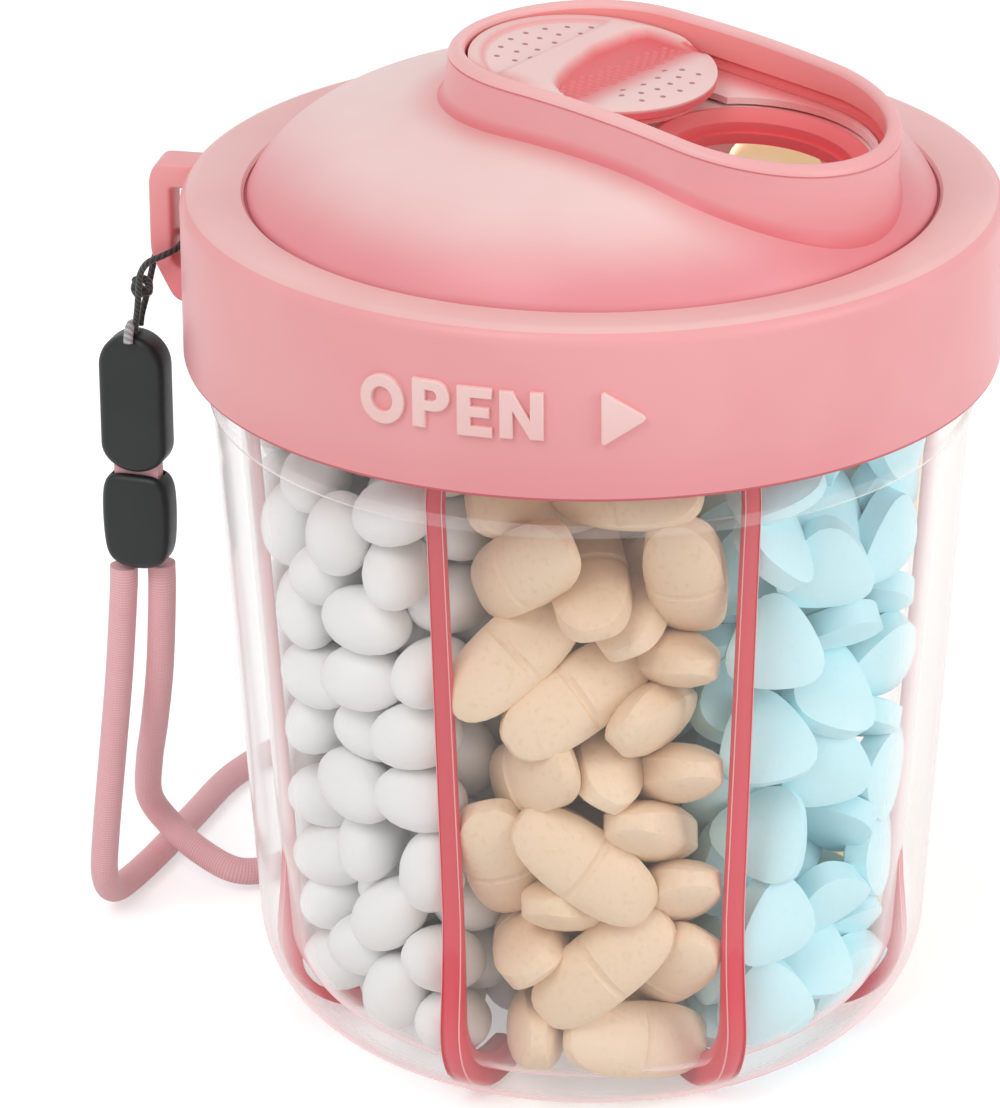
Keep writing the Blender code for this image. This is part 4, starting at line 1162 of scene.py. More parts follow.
# %% Track skin
GROOVE_DEPTH = 0.0007
GROOVE_TOP = 0.00015
GROOVE_FOOT = -0.00095
WELL_FOOT = -0.0026
HOLE_RIM = 0.0110
LIP_DEPTH = 0.00083
RECESS_START = 0.0006
FOOT_STEPS = [(0.0008, -0.0009), (0.0008, -0.00005), (0.00055, 0.00022), (0.00028, 0.0006), (0.0001, 0.0012)]
LIP_STEPS = [(TRACK_LIP, 0.0016), (TRACK_LIP, 0.00105), (TRACK_LIP - 0.00022, 0.00098),
             (TRACK_LIP - 0.00022, 0.00086), (TRACK_LIP, 0.00080), (TRACK_LIP - 0.0001, 0.0005),
             (TRACK_LIP - 0.00035, 0.0002), (TRACK_LIP - 0.0007, 0.00005), (TRACK_LIP - 0.0010, 0.0),
             (TRACK_INNER + 0.0004, 0.0001), (TRACK_INNER + 0.00015, 0.0003), (TRACK_INNER, 0.0007)]
WALL_STEPS = [(TRACK_INNER, GROOVE_TOP), (TRACK_INNER + GROOVE_DEPTH, GROOVE_TOP),
              (TRACK_INNER + GROOVE_DEPTH, GROOVE_FOOT), (TRACK_INNER, GROOVE_FOOT),
              (TRACK_INNER, TRACK_FLOOR + 0.0002), (TRACK_INNER - 0.0002, TRACK_FLOOR)]
HOLE_STEPS = [(0.01125, TRACK_FLOOR), (0.01110, TRACK_FLOOR + 0.00012), (0.0108, TRACK_FLOOR + 0.00008),
              (0.0104, -0.0023), (0.0098, -0.0027), (HOLE_RADIUS, -0.0029), (HOLE_RADIUS, -0.0039),
              (0.0090, -0.0039), (0.0090, -0.0050), (0.0102, -0.0050), (0.0104, WELL_FOOT)]
rings = [foot_ring(*step) for step in FOOT_STEPS]
rings += [track_ring(radius, lambda x, drop=drop: lip_height(x) - drop) for radius, drop in LIP_STEPS]
rings += [track_ring(*step) for step in WALL_STEPS] + [hole_ring(*step) for step in HOLE_STEPS]
rings.append(track_ring(TRACK_INNER + 0.0004, WELL_FOOT))
track = add_piece("track_rail", skin("track_rail", rings, joined_ends=True))
track.data.transform(track_frame)
for material in (track_pink, lip_highlight, recess_coral, floor_painted_bounce):
    track.data.materials.append(material)
# The lip takes its painted highlight, the recess and the hole painted bounce light, and the floor painted
# coral bounce by its walls.
for face in track.data.polygons:
    spot = track_frame_back @ face.center
    away = off_axis(spot.x, spot.y)
    below_lip = lip_height(spot.x) - spot.z
    if math.hypot(spot.x - HOLE_PLACE, spot.y) < HOLE_RIM and spot.z < TRACK_FLOOR + 0.0005:
        face.material_index = 2
    elif away < TRACK_INNER - 0.0001 and spot.z > TRACK_FLOOR - 0.0002:
        face.material_index = 3
    elif away < TRACK_INNER + GROOVE_DEPTH + 0.0001 and below_lip > RECESS_START:
        face.material_index = 2
    elif below_lip < LIP_DEPTH:
        face.material_index = 1
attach(track, "dome")
print("Track rings:", len(rings))

# %% Painted coral shade in the corners, and the dome's pocket
DOME_SHADE = 0.42
DOME_SHADE_REACH = (0.0003, 0.0048)
TRACK_SHADE = 0.75
TRACK_SHADE_REACH = (0.0001, 0.0013)
POCKET_ROOM = 0.0009
POCKET_FOOT = -0.0030
WELL_RADIUS = 0.01045
WELL_DEPTH = -0.02
CUTTER_TOP = 0.006


def shade_points(mesh, share_at):
    """Writes each point's share of painted coral shade for the material to read."""
    shade = mesh.attributes.new("coral_shade", "FLOAT", "POINT")
    for vertex, item in zip(mesh.vertices, shade.data):
        item.value = share_at(vertex.co)


def track_distance(place):
    """How far outside the track's wall a spot is."""
    spot = track_frame_back @ place
    return off_axis(spot.x, spot.y) - TRACK_LIP


# Painted shade: coral on the dome beside the track's foot.
def dome_shade(place):
    return DOME_SHADE * (1 - ease(track_distance(place), *DOME_SHADE_REACH))


# Painted shade: coral low on the track's outer wall, where it meets the dome.
def track_shade(place):
    if track_distance(place) <= -0.0002:
        return 0.0
    return TRACK_SHADE * (1 - ease(above_dome(place), *TRACK_SHADE_REACH))


shade_points(track.data, track_shade)
for ring_at, radius, foot in ((track_ring, TRACK_INNER + POCKET_ROOM, POCKET_FOOT),
                              (hole_ring, WELL_RADIUS, WELL_DEPTH)):
    cutter = skin("pocket", [ring_at(radius, foot), ring_at(radius, CUTTER_TOP)], capped=True)
    cut_away(dome, cutter, track_frame)
shade_points(dome.data, dome_shade)
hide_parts("dome")
dress(dome, "dome")
print("Dome faces:", len(dome.data.polygons))

# %% [markdown]
# ## The sliding door
#
# The door is a round cap that fills the track's width. Its top is a small landscape: a sunken
# crescent with dots, a pale band, a deep finger scoop with a pebbled grip, and a second crescent.
# A landscape like that is a height for every spot, so the cap is a disc of rings and spokes whose
# points are lifted by one function. The dots are small domes set in rows, painted dark for the shade
# of small holes. Painted coral shade lies on the cap's side, in the scoop and on its grip, near the
# track's wall and along one border of the crescent.

# %% Door cap
DOOR_RADIUS = 0.01265
DOOR_FOOT = 0.0002
DOOR_TOP = 0.0016
DOOR_EDGE_START = 0.0115
DOOR_EDGE_FALL = 0.00025
SCOOP_DEPTH = 0.0011
SCOOP_START = (-0.0102, -0.0094)
SCOOP_END = (0.0112, 0.0125)
SCOOP_SOFT_RISE = (0.0024, 0.0082)
SCOOP_WALL_PLACES = [-0.0101, -0.0098, -0.0090, -0.0075, -0.0052, -0.0024, 0.0038, 0.0100, 0.0127]
SCOOP_WALL_LINE = [0.0056, 0.0042, 0.0024, 0.0004, -0.0008, -0.0016, -0.0027, -0.0022, -0.0008]
CRESCENT_DEPTH = 0.0004
CRESCENT_RADIUS = 0.0112
CRESCENT_BLEND = 0.0003
CRESCENT_SIDE = (-0.0053, -0.0047)
WALL_SHADE = 0.55
SHADE_ACROSS = (0.0078, 0.0105)
SHADE_ALONG = (-0.0030, 0.0010)
BORDER_SHADE = 0.5
BORDER_WIDTH = (0.0001, 0.0005)
BORDER_END = (-0.0055, -0.0045)
DOOR_RINGS = 44
DOOR_SPOKES = 144


def scoop_share(s, v):
    """How deep a spot lies in the finger scoop: a steep wall on one side, a soft rise on the other."""
    wall = float(np.interp(v, SCOOP_WALL_PLACES, SCOOP_WALL_LINE))
    along = ease(v, *SCOOP_START) * (1 - ease(v, *SCOOP_END))
    return ease(s, wall - 0.0002, wall + 0.0008) * (1 - ease(s, *SCOOP_SOFT_RISE)) * along


def door_height(s, v):
    away = math.hypot(s, v)
    in_crescent = 1 - ease(away, CRESCENT_RADIUS - CRESCENT_BLEND, CRESCENT_RADIUS + CRESCENT_BLEND)
    crescent = (1 - ease(s, *CRESCENT_SIDE)) * in_crescent
    height = DOOR_TOP - DOOR_EDGE_FALL * ease(away, DOOR_EDGE_START, DOOR_RADIUS)
    height -= CRESCENT_DEPTH * crescent
    return height - SCOOP_DEPTH * scoop_share(s, v)


door_rings = [[(0, 0, DOOR_FOOT)] * DOOR_SPOKES,
              circle(DOOR_RADIUS - 0.0002, DOOR_FOOT, DOOR_SPOKES),
              circle(DOOR_RADIUS, DOOR_FOOT + 0.0002, DOOR_SPOKES),
              circle(DOOR_RADIUS, DOOR_TOP - 0.0006, DOOR_SPOKES)]
for ring in range(DOOR_RINGS, -1, -1):
    flat = circle(DOOR_RADIUS * ring / DOOR_RINGS, 0, DOOR_SPOKES)
    door_rings.append([(s, v, door_height(s, v)) for s, v, _ in flat])
door = add_piece("door_disc", skin("door_disc", door_rings), door_painted_shade)


def door_shade(spot):
    """Painted coral shade on the cap's side, in the scoop, near the track's wall and on one border of the
    crescent.
    """
    away = math.hypot(spot.x, spot.y)
    if away > DOOR_RADIUS - 0.0003 and spot.z < DOOR_TOP - 0.0005:
        return 1.0
    in_shade = WALL_SHADE * ease(-spot.y, *SHADE_ACROSS) * (1 - ease(spot.x, *SHADE_ALONG))
    border = abs(away - CRESCENT_RADIUS)
    line = BORDER_SHADE * (1 - ease(border, *BORDER_WIDTH)) * (1 - ease(spot.x, *BORDER_END))
    return max(scoop_share(spot.x, spot.y), in_shade, line)


shade_points(door.data, door_shade)
door.data.transform(track_frame)
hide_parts("door_cap")
dress(door, "door")
recoat("door_rail_rear", floor_painted_bounce)
recoat("door_rail_front", floor_painted_bounce)
recoat("door_shutter", recess_coral)
print("Door faces:", len(door.data.polygons))

# %% Dots and grip
DOT_RADIUS = 0.00038
DOT_RISE = 0.00006
DOT_PITCH = 0.0023
DOT_ARCS = ((-0.0097, -34, 54), (-0.0079, -40, 46), (-0.0062, -36, 16),
            (0.0108, -28, 26), (0.0091, -36, 30), (0.0074, -30, 28))
GRIP_RADIUS = 0.00042
GRIP_RISE = 0.00020
GRIP_PITCH = 0.00098
GRIP_MIDDLE = 0.0024
GRIP_LEAN = 0.09
GRIP_HALF = 0.0017
BEAD_SIDES = 10


def beads(name, spots, radius, rise, material):
    """Small low domes on the door's top."""
    bm = bmesh.new()
    for s, v in spots:
        base = door_height(s, v)
        top = bm.verts.new((s, v, base + rise))
        rims = [[bm.verts.new((s + x, v + y, base + rise * (1 - share * share) - 0.00002 * share))
                 for x, y, _ in circle(radius * share, 0, BEAD_SIDES)] for share in (0.6, 1.0)]
        for k in range(BEAD_SIDES):
            after = (k + 1) % BEAD_SIDES
            bm.faces.new((top, rims[0][k], rims[0][after]))
            bm.faces.new((rims[0][k], rims[1][k], rims[1][after], rims[0][after]))
    mesh = bpy.data.meshes.new(name)
    bm.to_mesh(mesh)
    bm.free()
    mesh.transform(track_frame)
    return add_piece(name, crisp(mesh), material)


dot_spots = []
for reach, low, high in DOT_ARCS:
    count = round(math.radians(high - low) * abs(reach) / DOT_PITCH)
    for step in range(count + 1):
        turn = math.radians(low + (high - low) * step / count)
        dot_spots.append((reach * math.cos(turn), abs(reach) * math.sin(turn)))
grip_spots = []
for row in range(-11, 13):
    for column in range(-6, 10):
        s = GRIP_PITCH * (column + 0.5 * (row % 2))
        v = GRIP_PITCH * 0.866 * row
        middle = GRIP_MIDDLE + GRIP_LEAN * v
        if abs(s - middle) < GRIP_HALF and scoop_share(s, v) > 0.4:
            grip_spots.append((s, v))
# The dots are painted dark, the shade of small holes.
dots = beads("door_dots", dot_spots, DOT_RADIUS, DOT_RISE, dot_shade)
dress(dots, "door")
# The grip beads carry the scoop's painted shade.
grip = beads("door_grip", grip_spots, GRIP_RADIUS, GRIP_RISE, grip_shade_coral)
dress(grip, "door")
print("Dots and grip beads:", len(dot_spots), len(grip_spots))

# %% [markdown]
# ## Letters on the collar
#
# The collar says which way it opens, in plain raised capitals with an arrow. Each letter is drawn
# as closed outlines on a unit square, filled by a flat curve that is given a little thickness, and
# then wrapped on the collar: x becomes an angle and y a height. Lines of sight through the
# letters' own pixels in the photograph give those angles and heights.

# %% Raised letters
LETTER_STROKE = 0.27
THIN_STROKE = LETTER_STROKE * 0.78
LETTER_RISE = 0.00042
LETTER_BEVEL = 0.00016
LETTERS_SEEN = {
    "letter_o": (363, 406, 373, 422),
    "letter_p": (414, 451, 379, 427),
    "letter_e": (458, 493, 386, 435),
    "letter_n": (500, 544, 391, 438),
    "open_arrow": (601, 646, 391, 444),
}


def on_collar(x, y):
    """The angle and height at which a pixel's line of sight meets the collar's side."""
    aim = sight_line(x, y)
    start = camera.location
    flat = aim.x ** 2 + aim.y ** 2
    half = start.x * aim.x + start.y * aim.y
    inside = half * half - flat * (start.x ** 2 + start.y ** 2 - COLLAR_RADIUS ** 2)
    spot = start + aim * ((-half - math.sqrt(inside)) / flat)
    return math.atan2(spot.x, -spot.y), spot.z


def ring_outline(width, inset):
    half = 0.5 * width
    return [(half + x * (half - inset), 0.5 + y * (0.5 - inset)) for x, y, _ in circle(1, 0, 28)]


def bowl(left, low, high, reach):
    """Half a rounded bowl that opens to the left, as in a P."""
    half = (high - low) / 2
    curve = arc((left + reach - half, (low + high) / 2), half, -QUARTER, QUARTER, 14)
    return [(left, low)] + curve + [(left, high)]


def letter_shapes(sign, width):
    """Closed outlines for each sign. Height is 1 and the stroke is a share of it."""
    t = LETTER_STROKE
    w = width
    thin = THIN_STROKE
    return {
        "letter_o": [ring_outline(w, 0.0), ring_outline(w, t * 0.92)],
        "letter_p": [[(0, 0), (t, 0), (t, 0.36)] + bowl(t, 0.36, 1.0, w - t)[1:-1] + [(t, 1.0), (0, 1.0)],
                     bowl(t, 0.36 + thin, 1.0 - thin, w - t - t)],
        "letter_e": [[(0, 0), (w, 0), (w, thin), (t, thin), (t, 0.5 - thin / 2), (w * 0.92, 0.5 - thin / 2),
                      (w * 0.92, 0.5 + thin / 2), (t, 0.5 + thin / 2), (t, 1 - thin), (w, 1 - thin),
                      (w, 1), (0, 1)]],
        "letter_n": [[(0, 0), (t, 0), (t, 0.58), (w - t, 0), (w, 0), (w, 1), (w - t, 1), (w - t, 0.42),
                      (t, 1), (0, 1)]],
        "open_arrow": [[(0.0, 0.04), (0.05, 0.0), (w * 0.94, 0.44), (w, 0.5), (w * 0.94, 0.56), (0.05, 1.0),
                        (0.0, 0.96)]],
    }[sign]


def raise_letter(name, left, right, top, foot):
    """Draws a sign between these pixels and wraps it on the collar."""
    start_angle, _ = on_collar(left, (top + foot) / 2)
    end_angle, _ = on_collar(right, (top + foot) / 2)
    _, high = on_collar((left + right) / 2, top)
    _, low = on_collar((left + right) / 2, foot)
    size = high - low
    drawing = bpy.data.curves.new(name, "CURVE")
    drawing.dimensions = "2D"
    drawing.fill_mode = "BOTH"
    drawing.extrude = LETTER_RISE / 2 / size
    drawing.bevel_depth = LETTER_BEVEL / size
    drawing.bevel_resolution = 2
    drawing.offset = -LETTER_BEVEL / size
    for outline in letter_shapes(name, (end_angle - start_angle) * COLLAR_RADIUS / size):
        spline = drawing.splines.new("POLY")
        spline.points.add(len(outline) - 1)
        spline.use_cyclic_u = True
        for point, (x, y) in zip(spline.points, outline):
            point.co = (x, y, 0, 1)
    holder = bpy.data.objects.new(name, drawing)
    bpy.context.scene.collection.objects.link(holder)
    bpy.context.view_layer.update()
    mesh = bpy.data.meshes.new_from_object(holder.evaluated_get(bpy.context.evaluated_depsgraph_get()))
    bpy.data.objects.remove(holder, do_unlink=True)
    for vertex in mesh.vertices:
        x, y, z = vertex.co
        turn = start_angle + x * size / COLLAR_RADIUS
        radius = COLLAR_RADIUS + z * size + LETTER_RISE / 2
        vertex.co = (radius * math.sin(turn), -radius * math.cos(turn), low + y * size)
    dress(add_piece(name, crisp(mesh), letter_pink), "collar")
    return round(1000 * size, 2)


print("Heights in mm:", [raise_letter(name, *pixels) for name, pixels in LETTERS_SEEN.items()])

# %% [markdown]
# ## The buckle
#
# The buckle is two black halves with soft pillow edges on a flat pink tongue. Each half is one
# outline drawn several times through its thickness, pulled in near both faces by a quarter circle.
# The hollow that the tongue slides in is cut out, because it shows when the halves come apart.

# %% Buckle halves
BUCKLE_REACH = COLLAR_RADIUS + LUG_REACH + 0.0026
BUCKLE_TURN = math.radians(-17)
BUCKLE_TOP = 0.0718
HALF_WIDTH = 0.0073 / 2
BUCKLE_THICKNESS = 0.0038
SOCKET_HEIGHT = 0.0155
SOCKET_FOOT_ROUND = 0.0030
PLUG_TOP = -SOCKET_HEIGHT - GAP
PLUG_HEIGHT = 0.0109
PLUG_CROWN = 0.0008
PLUG_SIDES = [(0.84, 0.0), (0.96, 0.1), (1.02, 0.24), (1.02, 0.58), (0.94, 0.84), (0.86, 0.93)]
PLUG_ROUND = 0.0011
HOLLOW_WIDTH = 0.0055
HOLLOW_DEPTH = 0.0022
SOCKET_HOLLOW = 0.0080
PLUG_HOLLOW = 0.0036
CUTTER_PAST = 0.002
EDGE_ROUND = 0.0009
OUTLINE_STEPS = 96
buckle_frame = (Matrix.Translation(about_lug(BUCKLE_REACH, 0, BUCKLE_TOP))
                @ Matrix.Rotation(BUCKLE_TURN, 4, "Z"))


def pulled_in(outline, inset):
    """The outline moved inwards, along the bisector at each of its points."""
    result = []
    for index, spot in enumerate(outline):
        here = Vector(spot)
        before = (here - Vector(outline[index - 1])).normalized()
        after = (Vector(outline[(index + 1) % len(outline)]) - here).normalized()
        inwards = Vector((-(before.y + after.y), before.x + after.x)).normalized()
        result.append(here + inwards * inset)
    return result


def rounded(outline, reach):
    """The outline again in even steps, its corners cut short and then curved."""
    ring = [Vector(spot) for spot in outline]
    after = ring[1:] + ring[:1]
    lengths = [(end - start).length for start, end in zip(ring, after)]
    total = sum(lengths)
    spots = []
    index = 0
    passed = 0.0
    for step in range(OUTLINE_STEPS):
        goal = total * step / OUTLINE_STEPS
        while passed + lengths[index] < goal:
            passed += lengths[index]
            index += 1
        spots.append(ring[index].lerp(after[index], (goal - passed) / lengths[index]))
    window = max(1, round(reach / total * OUTLINE_STEPS))
    shifts = range(-window, window + 1)
    for _ in range(2):
        spots = [sum((spots[(k + shift) % OUTLINE_STEPS] for shift in shifts), Vector((0, 0)))
                 / (2 * window + 1) for k in range(OUTLINE_STEPS)]
    return [tuple(spot) for spot in spots]


def pillow(name, outline):
    """An outline of (x, z) points as a block with rounded edges on both faces."""
    rings = []
    for side, steps in ((-1, range(5)), (1, range(4, -1, -1))):
        for step in steps:
            turn = QUARTER * step / 4
            y = side * (BUCKLE_THICKNESS / 2 - EDGE_ROUND * (1 - math.cos(turn)))
            inset = EDGE_ROUND * (1 - math.sin(turn))
            rings.append([(spot.x, y, spot.y) for spot in pulled_in(outline, inset)])
    return skin(name, rings, capped=True)


def buckle_half(name, outline, hollow_foot, hollow_top):
    """One half of the buckle, with its share of the hollow for the tongue."""
    half = add_piece(name, pillow(name, outline), buckle_black)
    half.data.transform(buckle_frame)
    wide = HOLLOW_WIDTH / 2
    deep = HOLLOW_DEPTH / 2
    rings = [[(-wide, -deep, z), (wide, -deep, z), (wide, deep, z), (-wide, deep, z)]
             for z in (hollow_foot, hollow_top)]
    return cut_away(half, skin("hollow", rings, capped=True), buckle_frame)


socket_outline = arc((0, -HALF_WIDTH), HALF_WIDTH, 0, math.pi, 20)
for step in range(21):
    turn = math.pi * step / 20
    rise = SOCKET_FOOT_ROUND * (1 - math.sin(turn))
    socket_outline.append((-HALF_WIDTH * math.cos(turn), rise - SOCKET_HEIGHT))
socket = buckle_half("buckle_upper", socket_outline, -SOCKET_HEIGHT - CUTTER_PAST,
                     SOCKET_HOLLOW - SOCKET_HEIGHT)
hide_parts("buckle_socket")
dress(socket, "collar")
plug_side = [(HALF_WIDTH * across, PLUG_TOP - PLUG_HEIGHT * down, 0) for across, down in PLUG_SIDES]
side_curve = [(spot.x, spot.y) for spot in smooth_route(plug_side, 4)]
narrow = side_curve[-1][0]
shares = [1 - 2 * k / 12 for k in range(1, 12)]
plug_foot = [(-narrow * share, PLUG_TOP - PLUG_HEIGHT + PLUG_CROWN * share ** 2) for share in shares]
plug_outline = rounded([(-x, z) for x, z in side_curve] + plug_foot + side_curve[::-1], PLUG_ROUND)
plug = buckle_half("buckle_lower", plug_outline, PLUG_TOP - PLUG_HOLLOW, PLUG_TOP + CUTTER_PAST)
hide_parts("buckle_plug")
dress(plug, "strap")
recoat("buckle_tongue", strap_pink)
print("Buckle halves:", len(socket.data.polygons), len(plug.data.polygons))

# %% Eyelet
EYELET_REACH = 0.0013
EYELET_RADIUS = 0.0005
EYELET_SIDE = 0.0011
EYELET_SINK = 0.0004
EYELET_STRETCH = 1.2
eyelet_turns = [math.pi * step / 12 for step in range(13)]
eyelet_line = [about_lug(BUCKLE_REACH, EYELET_SIDE + EYELET_REACH * math.cos(turn),
                         BUCKLE_TOP - EYELET_SINK + EYELET_STRETCH * EYELET_REACH * math.sin(turn))
               for turn in eyelet_turns]
eyelet = add_piece("buckle_eyelet", tube("buckle_eyelet", eyelet_line, EYELET_RADIUS, sides=10), eyelet_grey)
dress(eyelet, "collar")
print("Eyelet width in mm:", round(2000 * EYELET_REACH, 1))

KNOT_RADIUS = 0.00045
KNOT_ROUTE = [
    (0.0477, 0.0012, 0.0762), (0.0484, 0.0006, 0.0768), (0.0482, -0.0006, 0.0775), (0.0473, -0.0007, 0.0771),
    (0.0470, 0.0005, 0.0765), (0.0476, 0.0012, 0.0772), (0.0484, 0.0003, 0.0778),
]
knot_line = smooth_route([about_lug(*spot) for spot in KNOT_ROUTE])
knot = add_piece("cord_knot", tube("cord_knot", knot_line, KNOT_RADIUS, sides=8), cord_black)
dress(knot, "collar")
print("Knot points:", len(knot_line))

# %% [markdown]
# ## Tablets
#
# The cup is clear, so most of what one sees is what is in it: white ovals, tan caplets with a
# score line and pale blue three-sided tablets. Three small meshes are made once. The tablets that
# show are listed by their pixel in the photograph, and a line of sight through each pixel finds
# where the tablet touches the inside of the wall. Seeded fillers take the room behind them.

# %% Tablet shapes
OVAL_SIZE = (0.0103, 0.0071, 0.0071)
OVAL_ROWS = 12
OVAL_SPOKES = 22
CAPLET_LENGTH = 0.0172
CAPLET_WIDTH = 0.0080
CAPLET_BAND = 0.0026
CAPLET_DOME = 0.0018
CAPLET_POWER = 2.5
SCORE_HALF = 0.0005
SCORE_DEPTH = 0.0004
SHIELD_RADIUS = 0.0048
SHIELD_BAND = 0.0024
SHIELD_DOME = 0.0009
SHIELD_CORNERS = 0.12
SHIELD_FLATS = 0.015
SHIELD_SPOKES = 30
SHIELD_STEPS = [(0.0, 1.0), (0.4, 0.86), (0.75, 0.5), (0.93, 0.16), (1.0, 0.0)]


def oval_rings():
    """Rings along an oval, from tip to tip."""
    half = [size / 2 for size in OVAL_SIZE]
    turns = [math.tau * spoke / OVAL_SPOKES for spoke in range(OVAL_SPOKES)]
    rings = []
    for row in range(OVAL_ROWS + 1):
        tilt = math.pi * row / OVAL_ROWS
        rings.append([(half[0] * math.cos(tilt), half[1] * math.sin(tilt) * math.cos(turn),
                       half[2] * math.sin(tilt) * math.sin(turn)) for turn in turns])
    return rings


def caplet_rings():
    """Cross-sections of a scored caplet from one end to the other."""
    half = CAPLET_LENGTH / 2
    stations = {half * math.sin(QUARTER * k / 9) for k in range(-9, 10)}
    stations |= {side * SCORE_HALF * share for side in (-1, 1) for share in (0.5, 1.0)}
    rings = []
    for x in sorted(stations):
        reach = max(0.0, 1 - abs(x / half) ** CAPLET_POWER)
        wide = CAPLET_WIDTH / 2 * reach ** (1 / CAPLET_POWER)
        score = SCORE_DEPTH * max(0.0, 1 - (x / SCORE_HALF) ** 2)
        upper = []
        lower = []
        for k in range(-4, 5):
            y = math.sin(QUARTER * k / 4)
            crown = max(0.0, reach - abs(y) ** CAPLET_POWER * reach) ** 0.75
            top = CAPLET_BAND / 2 + CAPLET_DOME * crown - score * (1 - y * y * 0.5)
            upper.append((x, y * wide, top * reach ** 0.2))
            lower.append((x, y * wide, -(CAPLET_BAND / 2 + CAPLET_DOME * crown) * reach ** 0.2))
        rings.append(upper + lower[::-1])
    return rings


def shield_rings():
    """A rounded triangle with a flat band and low domes."""
    levels = [(share, SHIELD_BAND / 2 + SHIELD_DOME * rise) for share, rise in SHIELD_STEPS]
    levels += [(share, -height) for share, height in reversed(levels)]
    turns = [math.tau * spoke / SHIELD_SPOKES for spoke in range(SHIELD_SPOKES)]
    radii = [SHIELD_RADIUS * (1 + SHIELD_CORNERS * math.cos(3 * turn) + SHIELD_FLATS * math.cos(6 * turn))
             for turn in turns]
    return [[polar(radius * share, turn, height) for radius, turn in zip(radii, turns)]
            for share, height in levels]


def shape_of(rings):
    """The points and faces of a tablet, ready to be repeated."""
    mesh = skin("tablet", rings)
    points = np.array([vertex.co for vertex in mesh.vertices])
    faces = [tuple(face.vertices) for face in mesh.polygons]
    bpy.data.meshes.remove(mesh)
    return points, faces


def row_of_balls(spots, radii):
    return np.array(spots, float) / 1000, np.array(radii, float) / 1000


# Each kind has its shape and the balls, in millimetres, that stand for it while it settles.
OVAL = (shape_of(oval_rings()), row_of_balls([(-1.7, 0, 0), (0, 0, 0), (1.7, 0, 0)], [3.3, 3.5, 3.3]))
CAPLET = (shape_of(caplet_rings()),
          row_of_balls([(-5.4, 0, 0), (-2.7, 0, 0), (0, 0, 0), (2.7, 0, 0), (5.4, 0, 0),
                        (-2, 1.2, 0), (2, 1.2, 0), (-2, -1.2, 0), (2, -1.2, 0)],
                       [2.8, 3.0, 3.0, 3.0, 2.8, 2.7, 2.7, 2.7, 2.7]))
SHIELD = (shape_of(shield_rings()),
          row_of_balls([(0, 0, 0), (3.4, 0, 0), (-1.7, 2.9, 0), (-1.7, -2.9, 0), (1.4, 2.1, 0),
                        (1.4, -2.1, 0), (-2.3, 0, 0)], [2.0, 1.9, 1.9, 1.9, 1.8, 1.8, 1.8]))
print("Tablet points:", len(OVAL[0][0]), len(CAPLET[0][0]), len(SHIELD[0][0]))

# %% [markdown]
# ## Where each tablet lies
#
# Every row of the tables is one tablet: the pixel at its middle, how far its long axis leans in
# the picture, how many pixels long it looks, and its roll about that axis. A tablet that looks
# short is dived away from the camera. The last number is how far it lies behind the wall, in
# millimetres.

# %% Tablets seen in the photograph
OVALS_SEEN = [
    (333, 544, 80, 69, 0, 3.5), (394, 566, 70, 69, 0, 3.5), (365, 613, -15, 91, 0, 3.5),
    (455, 610, 0, 87, 0, 3.5), (363, 679, -5, 84, 0, 3.5), (438, 673, 30, 76, 0, 3.5),
    (400, 738, 5, 100, 0, 3.5), (463, 535, 0, 80, 0, 4.0), (387, 519, 20, 80, 0, 5.5),
    (313, 499, 60, 72, 0, 4.0), (282, 530, 70, 75, 0, 4.0), (293, 609, 80, 85, 0, 4.0),
    (304, 682, 10, 80, 0, 4.0), (311, 729, -20, 80, 0, 4.5), (426, 798, -5, 96, 0, 3.5),
    (370, 833, 60, 72, 0, 3.5), (415, 869, 75, 80, 0, 3.5), (310, 789, 10, 90, 0, 4.0),
    (310, 835, 20, 85, 0, 4.5), (339, 895, 30, 80, 0, 4.0), (384, 922, 40, 73, 0, 3.5),
    (444, 951, 0, 76, 0, 3.5), (386, 991, 80, 68, 0, 3.5), (450, 1017, 0, 82, 0, 3.5),
    (322, 960, 30, 80, 0, 4.5), (290, 560, 10, 80, 0, 5.0), (345, 765, -10, 80, 0, 6.5),
    (335, 640, 0, 80, 0, 7.0),
]
CAPLETS_SEEN = [
    (522, 569, 20, 95, 0, 4.5), (602, 601, 95, 118, 0, 3.6), (650, 596, -82, 120, 20, 7.5),
    (691, 573, -78, 110, 15, 4.5), (510, 675, 48, 172, 0, 3.2), (589, 712, 32, 170, 0, 3.2),
    (682, 649, 30, 80, 60, 5.5), (683, 712, 20, 84, 60, 5.0), (687, 772, 10, 90, 75, 4.6),
    (618, 765, 55, 120, 0, 6.5), (513, 772, 10, 110, 0, 5.5), (578, 852, -29, 174, 0, 3.2),
    (485, 847, 80, 110, 0, 5.5), (546, 900, -35, 110, 60, 6.5), (496, 932, -45, 110, 0, 4.6),
    (591, 964, 39, 174, 0, 3.2), (682, 956, 48, 110, 20, 4.6), (680, 838, 0, 95, 80, 4.6),
    (682, 888, 20, 84, 70, 5.0), (624, 1029, 0, 150, 0, 4.2), (524, 1025, 0, 72, 0, 4.6),
    (540, 512, 10, 150, 0, 5.0), (640, 505, -10, 150, 0, 5.5),
]
